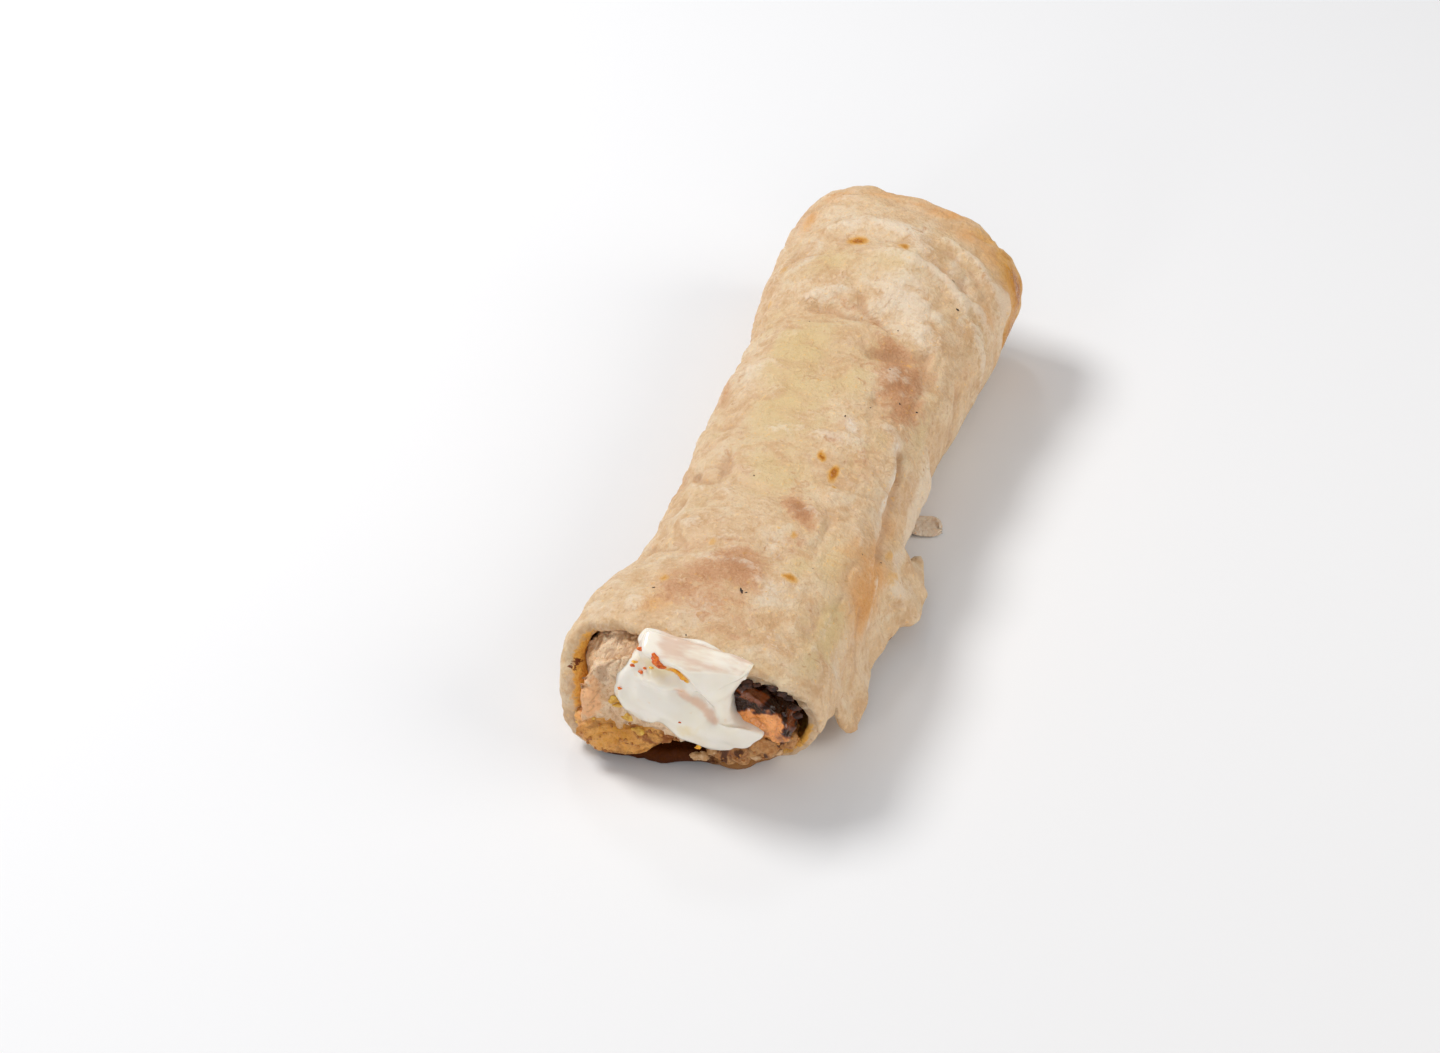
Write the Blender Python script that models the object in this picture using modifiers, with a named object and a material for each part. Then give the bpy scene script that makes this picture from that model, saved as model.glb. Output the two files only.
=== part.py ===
"""Chicken boti roll: one sheet of flatbread rolled round strips of grilled chicken and white garlic sauce.

The roll lies on its flattened underside. Its length runs along +Y from the open front end, where the
filling and the sauce show, and +Z is up. Sizes are in millimetres; solid_from_grid() turns them into metres.
"""

import math

import bmesh
import bpy
import numpy as np

MM = 0.001

# The roll as it lies
ROLL_LENGTH = 182.0
HALF_WIDTH = ((0, 32.8), (18, 31.8), (36, 29.2), (52, 28.2), (72, 28.2), (92, 27.8), (130, 29.6),
              (162, 31.4), (182, 31.6))
HEIGHT = ((0, 36.8), (28, 37.4), (70, 35.6), (112, 35.4), (148, 38.0), (182, 38.6))
MIDDLE_X = ((0, -2.0), (18, -1.6), (36, 0.2), (52, 0.2), (75, -0.8), (120, -1.0), (182, -1.3))
SECTION_POWER = 2.35
FOOTPRINT_MIDDLE = (2.5, 87.8)
SAG = 4.0  # how far the round section would sink before its underside lies flat
FRONT_LEAN = 0.075  # the right lobe stands lower than the left one
FRONT_LEAN_LENGTH = 62.0
BACK_LEAN = 0.07
BACK_LEAN_LENGTH = 50.0
FRONT_PINCH, FRONT_PINCH_LENGTH = 0.055, 11.0  # each end closes in by this share of its width
BACK_PINCH, BACK_PINCH_LENGTH = 0.09, 13.0

# The sheet of bread. Angles run anticlockwise seen from the front, from 0 at the right side.
BREAD_THICKNESS = 2.7
LIP_THICKNESS = 4.0  # of the single layer round the left lobe's lip
LIP_THICKNESS_LENGTH = 22.0
ALONE_FROM, ALONE_TO, ALONE_FADE = 100.0, 335.0, 25.0  # the angles between which one layer lies alone
LAYER_PITCH = BREAD_THICKNESS + 0.45
LEAVE_ANGLE = 27.0  # where the outer layer's loose edge starts
INNER_ANGLE = 460.0  # where the sheet starts inside, one turn and a quarter further round
ANGLE_BANDS = ((27, 150, 14), (150, 230, 7), (230, 310, 5), (310, 360, 4), (360, 460, 6))
EDGE_COLUMNS = 5
ROW_BANDS = ((0, 5, 3), (5, 12, 3), (12, 76, 18), (76, 84, 2), (84, 96, 7), (96, 170, 9), (170, 182, 3))
NORMAL_STEP = 0.6  # degrees to each side that the outline's direction is measured over

# The open lips: how far each stands back from the roll's end, by angle
FRONT_LIP = ((0, 5.5), (40, 2.0), (72, -0.5), (98, 0.6), (130, 5.4), (158, 3.2), (188, 0.6), (232, -2.4),
             (248, 1.0), (262, 3.0), (278, 1.6), (300, 3.8), (330, 5.8), (360, 5.5))
BACK_LIP = ((0, 10.0), (45, 7.0), (90, 2.2), (135, 0.8), (180, 2.5), (235, 4.5), (300, 7.5), (360, 10.0))
LIP_REACH = 40.0  # how far along the roll the rows of the sheet bend to follow its lips
INNER_LIP = 1.8  # the layer inside stands back behind the outer one
INNER_LIP_FROM, INNER_LIP_FADE = 345.0, 30.0
LIP_RAGGED = 0.5

# The loose edge: its length past LEAVE_ANGLE and how far it stands off, along the roll
EDGE_LENGTH = ((0, 9), (10, 9), (14, 9), (18, 18), (26, 21), (40, 19), (50, 20), (58, 23), (67, 23),
               (71, 20), (74, 11), (79, 14), (86, 16), (88.8, 20), (91.2, 20), (94, 16), (100, 18), (182, 18))
EDGE_NICKS = ((0.7, 13.0), (0.6, 8.2))  # waves in that length: height and distance apart
EDGE_FLARE = ((0, 0), (12, 0), (18, 0.5), (30, 0.65), (44, 0.75), (56, 0.9), (67, 0.9), (71, 0.75),
              (75, 0.1), (80, 0), (86.5, 0), (88.8, 0.65), (91.2, 0.65), (93.5, 0), (98, 0), (182, 0))
EDGE_DEGREES_PER_MM = 3.0
EDGE_START_ANGLE, EDGE_END_ANGLE = 10.0, 60.0  # the flared edge's slope outwards from straight down
EDGE_RUFFLE, EDGE_RUFFLE_LENGTH = 1.0, 15.0
EDGE_LIFT = 0.4  # the least gap under the loose edge

# The hollow under the middle of the front end, between the two lobes
ARCH_X, ARCH_WIDTH, ARCH_LENGTH, ARCH_HEIGHT = -0.8, 6.5, 15.0, 5.0

# Bulges and dents of the bread: place along the roll, angle, size along, size round in degrees, height
SWELLS = (
    (148, 82, 8, 17, 1.9), (131, 74, 7, 16, -1.3), (120, 66, 9, 15, -1.6), (163, 100, 8, 26, 1.0),
    (129, 104, 4, 24, -1.2), (140, 125, 9, 20, 1.0), (105, 115, 16, 30, 0.8), (92, 70, 9, 18, 0.9),
    (78, 44, 9, 12, 1.3), (60, 92, 11, 22, -0.8), (45, 118, 10, 20, 0.9), (34, 132, 5, 18, -1.5),
    (25, 92, 9, 26, 0.9), (17, 142, 9, 18, 1.2), (20, 27, 8, 16, -1.0), (14, 52, 8, 14, 0.8),
    (46, 40, 9, 14, 0.9), (112, 30, 12, 14, 0.9), (160, 30, 10, 16, 1.1), (66, 142, 5, 14, -1.1),
    (96, 150, 12, 16, 0.8), (150, 158, 14, 16, 0.8), (120, 200, 20, 22, 0.8), (44, 190, 9, 26, -1.2),
    (2, 218, 13, 20, 2.4),
)
UNEVEN, UNEVEN_LENGTH = 0.35, 60.0

# The filling. Each strip: middle x, middle z, half width, half height, front end, back end, seed.
CLEARANCE = 0.7  # between the filling and the bread
STEP_SLOPE = 40.0  # degrees over which the hollow's wall slopes past the sheet's start inside
ROW_REACH = 7.5
STRIP_DOME = 4.5
STRIP_SLANT, STRIP_SLANT_LENGTH = 0.2, 30.0  # the strips' front faces lean back a little
STRIPS = {
    "boti_pale": (-16.4, 22.0, 11.0, 12.0, -0.4, 174.0, 3),
    "boti_masala": (-12.8, 6.6, 14.7, 5.2, -5.4, 172.0, 5),
    "boti_charred": (15.3, 20.4, 8.8, 9.2, 1.8, 170.5, 8),
    "boti_shreds": (15.0, 6.8, 11.6, 4.4, 3.2, 169.0, 11),
}
STRIP_TURNS = np.linspace(0, 2 * math.pi, 16, endpoint=False)
STRIP_POWER = 2.7
STRIP_CRAG, STRIP_CRAG_LENGTH = 0.8, 24.0
STRIP_RINGS = 12
DOME_TURNS = np.radians((30, 55, 75, 90))

# The sauce: the outline of its front, in x and z, and the strip that runs through the roll
SAUCE_OUTLINE = ((-10.3, 0.2, 38.8), (-5.2, 0, 38.6), (1.8, 0, 38.2), (8.8, 0, 37.8), (15.0, 0, 35.9),
                 (13.4, -1.5, 32.6), (9.7, -1.7, 27.5), (8.8, -2, 19.5), (11.6, -2, 12.0), (7.2, -2, 9.4),
                 (0, -2, 9.4), (-7.1, -2, 11.6), (-15.3, -2.2, 14.1), (-18.4, -2.5, 20), (-16.0, -2.5, 27),
                 (-13.2, -2, 33.5))
SAUCE_MIDDLE, SAUCE_FRONT = (-1.5, 24.0), -6.2
SAUCE_RINGS = (0.3, 0.6, 0.8, 0.93)
SAUCE_UNEVEN = 0.7
# Behind the edge: the place, how much lower the top is there, and how wide the pad still is
SAUCE_BACK = ((1.0, 0, 1.0), (3.0, 0.5, 0.96), (5.0, 3.0, 0.84), (8.0, 4.5, 0.66))
SAUCE_TOP_FROM, SAUCE_TOP_FADE = 20.0, 16.0  # the heights over which that lowering sets in
SAUCE_COLUMNS = 26
SAUCE_FIRST_TURN = math.radians(125)  # where on the strip's section the outline's first point goes
SAUCE_STRIP = (2.6, 22.2, 8.5, 11.8, 11.0, 172.5, 14)
CUT_GAP = 0.55
# The rings of the bread's space that the sauce is cut by: on the inner face or not, and place along the roll
BREAD_RING = ((True, 0), (True, 10), (True, 20), (True, 40), (False, 40), (False, 20), (False, 10),
              (False, 4), (False, 0))

COLOURS = {
    "paratha_wrap": ((0.74, 0.55, 0.36), 0.62),
    "boti_pale": ((0.62, 0.43, 0.28), 0.55),
    "boti_masala": ((0.56, 0.27, 0.08), 0.5),
    "boti_charred": ((0.24, 0.08, 0.03), 0.35),
    "boti_shreds": ((0.60, 0.36, 0.18), 0.55),
    "garlic_sauce": ((0.86, 0.85, 0.78), 0.25),
}


def clear_scene():
    for obj in list(bpy.data.objects):
        bpy.data.objects.remove(obj)


def smooth(knots, at):
    """A smooth curve through (place, value) knots, read at one or many places."""
    place, value = np.array(knots, float).T
    at = np.clip(np.asarray(at, float), place[0], place[-1])
    slope = np.gradient(value, place)
    i = np.clip(np.searchsorted(place, at) - 1, 0, len(place) - 2)
    width = place[i + 1] - place[i]
    t = (at - place[i]) / width
    return (
        value[i] * (1 + 2 * t) * (1 - t) ** 2
        + value[i + 1] * t**2 * (3 - 2 * t)
        + width * (slope[i] * t * (1 - t) ** 2 - slope[i + 1] * t**2 * (1 - t))
    )


def signed_power(value, power):
    return np.sign(value) * np.abs(value) ** power


def fade(distance, length):
    """1 at distance 0, falling smoothly to 0 at length."""
    return np.clip(1 - distance / length, 0, 1) ** 2


def waves(u, v, seed, count=5):
    """Smooth unevenness between about -1 and 1 over two coordinates that each turn once in a unit."""
    draw = np.random.default_rng(seed)
    total = 0.0
    for _ in range(count):
        across, along = draw.integers(1, 4), draw.uniform(0.6, 2.4)
        total = total + np.sin(2 * math.pi * (across * u + along * v) + draw.uniform(0, 6.28))
    return total / math.sqrt(2 * count)


def swells(angle, y):
    height = UNEVEN * waves(angle / 360, y / UNEVEN_LENGTH, seed=21)
    for along, at, length, spread, rise in SWELLS:
        turn = (angle - at + 180) % 360 - 180
        height = height + rise * np.exp(-(((y - along) / length) ** 2) - (turn / spread) ** 2)
    return height


def floor_height(x, y):
    """The underside is flat but for the arch between the two lobes of the front end."""
    across = ((x - ARCH_X) / ARCH_WIDTH) ** 2
    along = (np.maximum(y, 0) / ARCH_LENGTH) ** 2
    return ARCH_HEIGHT * np.exp(-across - along)


def outline(angle, y):
    """The roll's outer outline without its swells: x and z for angles in degrees at place y."""
    behind = ROLL_LENGTH - y
    pinch = 1 - FRONT_PINCH * fade(y, FRONT_PINCH_LENGTH) - BACK_PINCH * fade(behind, BACK_PINCH_LENGTH)
    half_width = smooth(HALF_WIDTH, y)
    half_height = (smooth(HEIGHT, y) + SAG) / 2
    turn = np.radians(angle)
    x = pinch * half_width * signed_power(np.cos(turn), 2 / SECTION_POWER)
    z = half_height * (1 + pinch * signed_power(np.sin(turn), 2 / SECTION_POWER)) - SAG
    lean = FRONT_LEAN * fade(y, FRONT_LEAN_LENGTH) + BACK_LEAN * fade(behind, BACK_LEAN_LENGTH)
    return x + smooth(MIDDLE_X, y), z * (1 - lean * x / half_width)


def layer_point(angle, y, inset, lift):
    """A point inset from the outline, swells and all, and at least lift above what the roll lies on."""
    x, z = outline(angle, y)
    x_next, z_next = outline(angle + NORMAL_STEP, y)
    x_last, z_last = outline(angle - NORMAL_STEP, y)
    run = np.hypot(x_next - x_last, z_next - z_last)
    outward = swells(angle, y) - inset
    x = x + outward * (z_next - z_last) / run
    z = z - outward * (x_next - x_last) / run
    return x, np.maximum(z, floor_height(x, y) + lift)


def thickness(angle, y):
    """The bread puffs up at the open ends wherever one layer of it lies alone."""
    alone = np.clip((angle - ALONE_FROM) / ALONE_FADE, 0, 1) * np.clip((ALONE_TO - angle) / ALONE_FADE, 0, 1)
    near_lip = fade(y, LIP_THICKNESS_LENGTH) + 0.5 * fade(ROLL_LENGTH - y, LIP_THICKNESS_LENGTH)
    return BREAD_THICKNESS + (LIP_THICKNESS - BREAD_THICKNESS) * alone * near_lip


def layer_inset(angle):
    """The sheet's outer face lies a layer's pitch further in for each turn."""
    return LAYER_PITCH * angle / 360


def sheet_point(angle, y):
    half = thickness(angle, y) / 2
    return layer_point(angle, y, layer_inset(angle) + half, half)


def inner_wall(angle, y, clearance):
    """How far in the hollow's wall lies, at angles that begin where the sheet starts inside. The step there
    is bridged by a slope."""
    inset = layer_inset(angle) + thickness(angle, y)
    step = layer_inset(INNER_ANGLE) + BREAD_THICKNESS - inset
    return inset + clearance + step * fade(angle - INNER_ANGLE + 360, STEP_SLOPE)


def edge_point(share, y):
    """The loose edge of the outer layer, from its root (share 0) to its free end (share 1)."""
    nicks = sum(height * np.sin(2 * math.pi * y / apart) for height, apart in EDGE_NICKS)
    run = share * (smooth(EDGE_LENGTH, y) + nicks)
    pressed_x, pressed_z = sheet_point(LEAVE_ANGLE - EDGE_DEGREES_PER_MM * run, y)
    root_x, root_z = sheet_point(LEAVE_ANGLE + 0 * y, y)
    start, end = math.radians(EDGE_START_ANGLE), math.radians(EDGE_END_ANGLE)
    turn = start + (end - start) * share / 2
    ruffle = EDGE_RUFFLE * share**2 * np.sin(2 * math.pi * y / EDGE_RUFFLE_LENGTH)
    flared_x = root_x + run * np.sin(turn) + ruffle
    flared_z = np.maximum(root_z - run * np.cos(turn), BREAD_THICKNESS / 2 + EDGE_LIFT)
    flare = np.clip(smooth(EDGE_FLARE, y), 0, 1)
    return pressed_x + flare * (flared_x - pressed_x), pressed_z + flare * (flared_z - pressed_z)


def places(bands):
    """Places along bands that are each split evenly: start, end and count."""
    spread = [np.linspace(start, end, count, endpoint=False) for start, end, count in bands]
    return np.append(np.concatenate(spread), bands[-1][1])


def lip_place(base, angle):
    """Where a row of the sheet really lies: the first and last rows follow the two uneven lips."""
    turn = angle % 360
    ragged = LIP_RAGGED * (np.sin(np.radians(angle) * 7.3) + 0.7 * np.sin(np.radians(angle) * 13.1 + 1))
    inside = INNER_LIP * np.clip((angle - INNER_LIP_FROM) / INNER_LIP_FADE, 0, 1)
    front = smooth(FRONT_LIP, turn) + inside + ragged
    back = ROLL_LENGTH - smooth(BACK_LIP, turn) - inside + ragged
    reach_front, reach_back = fade(base, LIP_REACH), fade(ROLL_LENGTH - base, LIP_REACH)
    return base + front * reach_front + (back - ROLL_LENGTH) * reach_back


def solid_from_grid(name, points, closed_rows=False, closed_columns=False, poles=False):
    """A mesh object from a grid of points in millimetres, rows by columns. With poles, its two end rows are
    capped by a point each."""
    rows, columns = points.shape[:2]
    mesh = bmesh.new()
    verts = [[mesh.verts.new(p * MM) for p in row] for row in points]
    last = columns if closed_columns else columns - 1
    for r in range(rows if closed_rows else rows - 1):
        s = (r + 1) % rows
        for c in range(last):
            d = (c + 1) % columns
            mesh.faces.new((verts[r][c], verts[r][d], verts[s][d], verts[s][c]))
    if poles:
        for row in (verts[0], verts[-1]):
            pole = mesh.verts.new(np.mean([v.co for v in row], axis=0))
            for c in range(last):
                mesh.faces.new((row[c], row[(c + 1) % columns], pole))
    bmesh.ops.recalc_face_normals(mesh, faces=mesh.faces)
    data = bpy.data.meshes.new(name)
    mesh.to_mesh(data)
    mesh.free()
    data.shade_smooth()
    return bpy.data.objects.new(name, data)


def paratha_wrap():
    """The rolled sheet: its loose edge first, then once and a quarter round to its start inside."""
    edge_share = np.linspace(1, 0, EDGE_COLUMNS, endpoint=False)
    body_angle = places(ANGLE_BANDS)
    rows = []
    share_of_lip = []
    for base in places(ROW_BANDS):
        edge_y = lip_place(base, np.full(EDGE_COLUMNS, LEAVE_ANGLE))
        body_y = lip_place(base, body_angle)
        edge_x, edge_z = edge_point(edge_share, edge_y)
        body_x, body_z = sheet_point(body_angle, body_y)
        edge = np.stack([edge_x, edge_y, edge_z], 1)
        body = np.stack([body_x, body_y, body_z], 1)
        rows.append(np.concatenate([edge, body]))
        share_of_lip += [BREAD_THICKNESS / LIP_THICKNESS] * EDGE_COLUMNS
        share_of_lip += list(thickness(body_angle, body_y) / LIP_THICKNESS)
    wrap = solid_from_grid("paratha_wrap", centred(np.array(rows)))
    group = wrap.vertex_groups.new(name="thickness")
    for index, share in enumerate(share_of_lip):
        group.add([index], share, "REPLACE")
    bread = wrap.modifiers.new("bread thickness", "SOLIDIFY")
    bread.thickness = LIP_THICKNESS * MM
    bread.offset = 0
    bread.use_even_offset = True
    bread.vertex_group = group.name
    return wrap


def centred(points):
    """Moves the middle of the whole roll's footprint, its loose edge and its sauce counted, to the origin."""
    return points - np.array([*FOOTPRINT_MIDDLE, 0])


def hollow_wall(y):
    """The middle of the hollow in the rolled bread at place y, and a function from bearing to its wall's
    distance."""
    angle = np.arange(INNER_ANGLE - 360, INNER_ANGLE, 4.0)
    place = y + 0 * angle
    lift = thickness(angle, place) + CLEARANCE
    x, z = layer_point(angle, place, inner_wall(angle, place, CLEARANCE), lift)
    middle_x, middle_z = smooth(MIDDLE_X, y), smooth(HEIGHT, y) / 2
    own = np.arctan2(z - middle_z, x - middle_x)
    order = np.argsort(own)
    reach = np.hypot(x - middle_x, z - middle_z)[order]
    return middle_x, middle_z, lambda bearing: np.interp(bearing, own[order], reach, period=2 * math.pi)


def kept_in_hollow(x, z, y):
    """Pulls points of the filling back to the wall of the hollow, row by row. A row keeps clear of the wall
    for half the way to the next rows too."""
    for r in range(len(y)):
        for place in y[r] + np.linspace(-ROW_REACH, ROW_REACH, 5):
            middle_x, middle_z, wall = hollow_wall(place)
            out_x, out_z = x[r] - middle_x, z[r] - middle_z
            distance = np.maximum(np.hypot(out_x, out_z), 1e-6)
            scale = np.minimum(1, wall(np.arctan2(out_z, out_x)) / distance)
            x[r], z[r] = middle_x + out_x * scale, middle_z + out_z * scale
    return x, z


def strip_grid(middle_x, middle_z, half_width, half_height, front, back, seed, turns=STRIP_TURNS):
    """One strip of filling: a craggy rounded bar through the roll with domed ends."""
    dome = np.sin(DOME_TURNS)
    ends = STRIP_DOME * (1 - np.cos(DOME_TURNS))
    body = np.linspace(front + STRIP_DOME, back - STRIP_DOME, STRIP_RINGS)[1:-1]
    y = np.concatenate([front + ends, body, back - ends[::-1]])
    size = np.concatenate([dome, np.ones(len(body)), dome[::-1]])[:, None]
    turn = turns[None, :]
    crag = STRIP_CRAG * waves(turn / (2 * math.pi), y[:, None] / STRIP_CRAG_LENGTH, seed)
    drift = smooth(MIDDLE_X, np.clip(y, 0, ROLL_LENGTH))[:, None] - MIDDLE_X[0][1]
    x = middle_x + drift + size * (half_width + crag) * signed_power(np.cos(turn), 2 / STRIP_POWER)
    z = middle_z + size * (half_height + crag) * signed_power(np.sin(turn), 2 / STRIP_POWER)
    x, z = kept_in_hollow(x, z, y)
    slant = STRIP_SLANT * (z - middle_z) * fade(y[:, None] - y[0], STRIP_SLANT_LENGTH)
    return np.stack([x, y[:, None] + slant, z], 2)


def boti_strip(name):
    return solid_from_grid(name, centred(strip_grid(*STRIPS[name])), closed_columns=True, poles=True)


def strip_space(name, cutters):
    """The space that a strip takes with a gap round it, to cut another piece clear of it."""
    space = boti_strip(name)
    space.name = f"space of {name}"
    gap = space.modifiers.new("gap", "DISPLACE")
    gap.strength = CUT_GAP * MM
    gap.mid_level = 0
    return helper(space, cutters)


def closed_curve(points, count):
    """Points spread along a smooth closed curve through the given ones."""
    ring = np.array([*points[-2:], *points, *points[:3]], float)
    knots = np.arange(-2.0, len(points) + 3)
    at = np.linspace(0, len(points), count, endpoint=False)
    return np.stack([smooth(np.stack([knots, ring[:, k]], 1), at) for k in range(3)], 1)


def sauce_body():
    """The sauce that has run out over the front lip, and the strip of it behind. The pad's face is rounded
    towards its edge, and its top thins out on the bread behind the lip."""
    edge = closed_curve(SAUCE_OUTLINE, SAUCE_COLUMNS)
    middle = np.array([SAUCE_MIDDLE[0], SAUCE_FRONT, SAUCE_MIDDLE[1]])
    rings = []
    for share in SAUCE_RINGS:
        ring = middle + (edge - middle) * share
        uneven = SAUCE_UNEVEN * waves(ring[:, 0] / 30, ring[:, 2] / 22, seed=31)
        ring[:, 1] = SAUCE_FRONT + (edge[:, 1] - SAUCE_FRONT) * share**4 + uneven * (1 - share**4)
        rings.append(ring)
    rings.append(edge)
    for place, lower, width in SAUCE_BACK:
        ring = middle + (edge - middle) * (width, 1, 1)
        ring[:, 1] = place
        ring[:, 2] -= lower * np.clip((edge[:, 2] - SAUCE_TOP_FROM) / SAUCE_TOP_FADE, 0, 1)
        rings.append(ring)
    turns = SAUCE_FIRST_TURN - np.linspace(0, 2 * math.pi, SAUCE_COLUMNS, endpoint=False)
    behind = strip_grid(*SAUCE_STRIP, turns=turns)[3:]
    loft = centred(np.array([*rings, *behind]))
    return solid_from_grid("garlic_sauce", loft, closed_columns=True, poles=True)


def bread_ring():
    """The space that the rolled bread takes round the front end, to cut the sauce clear of it."""
    angle = np.arange(INNER_ANGLE - 360, INNER_ANGLE, 6.0)
    rings = []
    for inside, base in BREAD_RING:
        y = lip_place(base, angle % 360) - CUT_GAP * (base == 0)
        inset = inner_wall(angle, y, CUT_GAP) if inside else -CUT_GAP + 0 * angle
        x, z = layer_point(angle, y, inset, thickness(angle, y) + CUT_GAP if inside else -2.0)
        rings.append(np.stack([x, y, z], 1))
    return solid_from_grid("bread ring", centred(np.array(rings)), closed_rows=True, closed_columns=True)


def cut(obj, cutter):
    """Cuts with the manifold solver, as the exact one empties two of these pieces."""
    modifier = obj.modifiers.new(f"less {cutter.name}", "BOOLEAN")
    modifier.operation = "DIFFERENCE"
    modifier.object = cutter
    modifier.solver = "MANIFOLD"


def helper(obj, collection):
    collection.objects.link(obj)
    obj.hide_render = True
    obj.display_type = "WIRE"
    return obj


def boti_strips(cutters):
    """The four strips, the lower two cut clear of those that press into them."""
    strips = {name: boti_strip(name) for name in STRIPS}
    for lower, upper in (("boti_masala", "boti_pale"), ("boti_shreds", "boti_charred")):
        cut(strips[lower], strip_space(upper, cutters))
    return list(strips.values())


def garlic_sauce(cutters):
    """The sauce, cut clear of the bread and of the chicken."""
    sauce = sauce_body()
    for cutter in (helper(bread_ring(), cutters), *(strip_space(name, cutters) for name in STRIPS)):
        cut(sauce, cutter)
    return sauce


def food_material(name):
    colour, roughness = COLOURS[name]
    material = bpy.data.materials.new(name)
    material.use_nodes = True
    shader = material.node_tree.nodes["Principled BSDF"]
    shader.inputs["Base Color"].default_value = (*colour, 1)
    shader.inputs["Roughness"].default_value = roughness
    shader.inputs["Metallic"].default_value = 0
    material.diffuse_color = (*colour, 1)
    return material


def main():
    clear_scene()
    roll = bpy.data.collections.new("chicken boti roll")
    cutters = bpy.data.collections.new("cutters")
    for collection in (roll, cutters):
        bpy.context.scene.collection.children.link(collection)
    pieces = [paratha_wrap(), *boti_strips(cutters), garlic_sauce(cutters)]
    for piece in pieces:
        roll.objects.link(piece)
        piece.data.materials.append(food_material(piece.name))


main()
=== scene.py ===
"""Chicken boti roll, dressed for the render: flatbread rolled round grilled chicken and garlic sauce.

Everything is in metres in the finished meshes, with +Y along the roll from its open front end and +Z up.
The sheet of bread is worked out in millimetres from the same outline as the solids.
"""

import contextlib
import itertools
import math

import bmesh
import bpy
import numpy as np
from bpy.props import FloatProperty, FloatVectorProperty, IntProperty, PointerProperty
from bpy.types import Operator, Panel, PropertyGroup
from mathutils import Matrix, Vector


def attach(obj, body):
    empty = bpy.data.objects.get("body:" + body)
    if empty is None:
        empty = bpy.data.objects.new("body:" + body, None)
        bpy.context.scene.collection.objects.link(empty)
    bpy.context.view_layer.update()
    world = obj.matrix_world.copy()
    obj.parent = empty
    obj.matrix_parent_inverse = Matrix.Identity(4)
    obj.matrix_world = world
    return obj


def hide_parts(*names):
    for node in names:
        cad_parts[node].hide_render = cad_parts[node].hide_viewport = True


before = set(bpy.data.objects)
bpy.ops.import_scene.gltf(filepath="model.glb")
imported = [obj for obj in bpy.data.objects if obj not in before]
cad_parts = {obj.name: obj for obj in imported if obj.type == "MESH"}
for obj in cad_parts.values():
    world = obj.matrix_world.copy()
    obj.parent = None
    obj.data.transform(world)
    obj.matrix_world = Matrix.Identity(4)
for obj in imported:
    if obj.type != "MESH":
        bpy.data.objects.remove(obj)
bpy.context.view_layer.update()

bl_info = {
    "name": "Chicken Boti Roll",
    "version": (1, 0, 0),
    "blender": (4, 5, 0),
    "location": "3D View > Sidebar > Roll",
    "description": "Dresses the roll's solids as bread, grilled chicken and garlic sauce",
    "category": "Object",
}

MM = 0.001
TINY = 1e-9  # keeps a division from being one by nothing

# The roll as it lies, in the numbers of the solids: millimetres, and degrees round the roll from its right
ROLL_LENGTH = 182.0
# (place along the roll, value)
HALF_WIDTH = (
    (0, 32.8), (18, 31.8), (36, 29.2), (52, 28.2), (72, 28.2), (92, 27.8), (130, 29.6), (162, 31.4),
    (182, 31.6),
)
HEIGHT = ((0, 36.8), (28, 37.4), (70, 35.6), (112, 35.4), (148, 38.0), (182, 38.6))
MIDDLE_X = ((0, -2.0), (18, -1.6), (36, 0.2), (52, 0.2), (75, -0.8), (120, -1.0), (182, -1.3))
SECTION_POWER = 2.35  # 2 would be an ellipse, and more is squarer
STANDS_OVER = np.array([2.5, 87.8, 0.0])  # the middle of what the roll stands on
SAG = 4.0  # how far the section would reach below the ground, which flattens it
# How far the section leans near each end, lower on its right, and how far in that reaches
FRONT_LEAN, FRONT_LEAN_LENGTH = 0.075, 62.0
BACK_LEAN, BACK_LEAN_LENGTH = 0.07, 50.0
# How much smaller the section is at each end, and how far in that reaches
FRONT_PINCH, FRONT_PINCH_LENGTH = 0.055, 11.0
BACK_PINCH, BACK_PINCH_LENGTH = 0.09, 13.0
BREAD_THICKNESS = 2.7
LIP_THICKNESS, LIP_THICKNESS_LENGTH = 3.4, 22.0
# Between these angles one layer of the bread lies alone
ALONE_FROM, ALONE_TO, ALONE_FADE = 100.0, 335.0, 25.0
# Where the lip is thickest
LEFT_RIM, LEFT_RIM_ANGLE, LEFT_RIM_SPREAD, LEFT_RIM_LENGTH = 4.6, 178.0, 42.0, 14.0
LAYER_PITCH = BREAD_THICKNESS + 0.45  # from one layer to the next
LEAVE_ANGLE = 27.0  # where the loose outer edge leaves the roll
INNER_ANGLE = 460.0  # where the sheet's inner end lies
# How far in from the roll's two ends the lips lie: (angle, distance)
FRONT_LIP = (
    (0, 5.5), (40, 2.0), (72, -0.5), (98, 0.6), (130, 5.4), (158, 3.2), (188, 0.6), (232, -2.4), (248, -2.5),
    (264, -2.2), (275, 0.0), (282, 1.4), (290, 2.4), (306, 5.0), (320, 6.6), (340, 6.0), (360, 5.5),
)
BACK_LIP = ((0, 10.0), (45, 7.0), (90, 2.2), (135, 0.8), (180, 2.5), (235, 4.5), (300, 7.5), (360, 10.0))
LIP_REACH = 40.0  # how far along the roll the rows of the sheet follow its lips
# How much further in the inner layer's lip lies, and from which angle on
INNER_LIP, INNER_LIP_FROM, INNER_LIP_FADE = 2.2, 350.0, 25.0
LIP_RAGGED = 0.5
# How long the loose edge is: (along, length)
EDGE_LENGTH = (
    (0, 9), (10, 9), (14, 10), (18, 19), (72, 20), (76, 17), (79, 13), (84, 13), (100, 18), (182, 18),
)
EDGE_NICKS = ((0.7, 13.0), (0.6, 8.2))  # waves in it: height and distance apart
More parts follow.
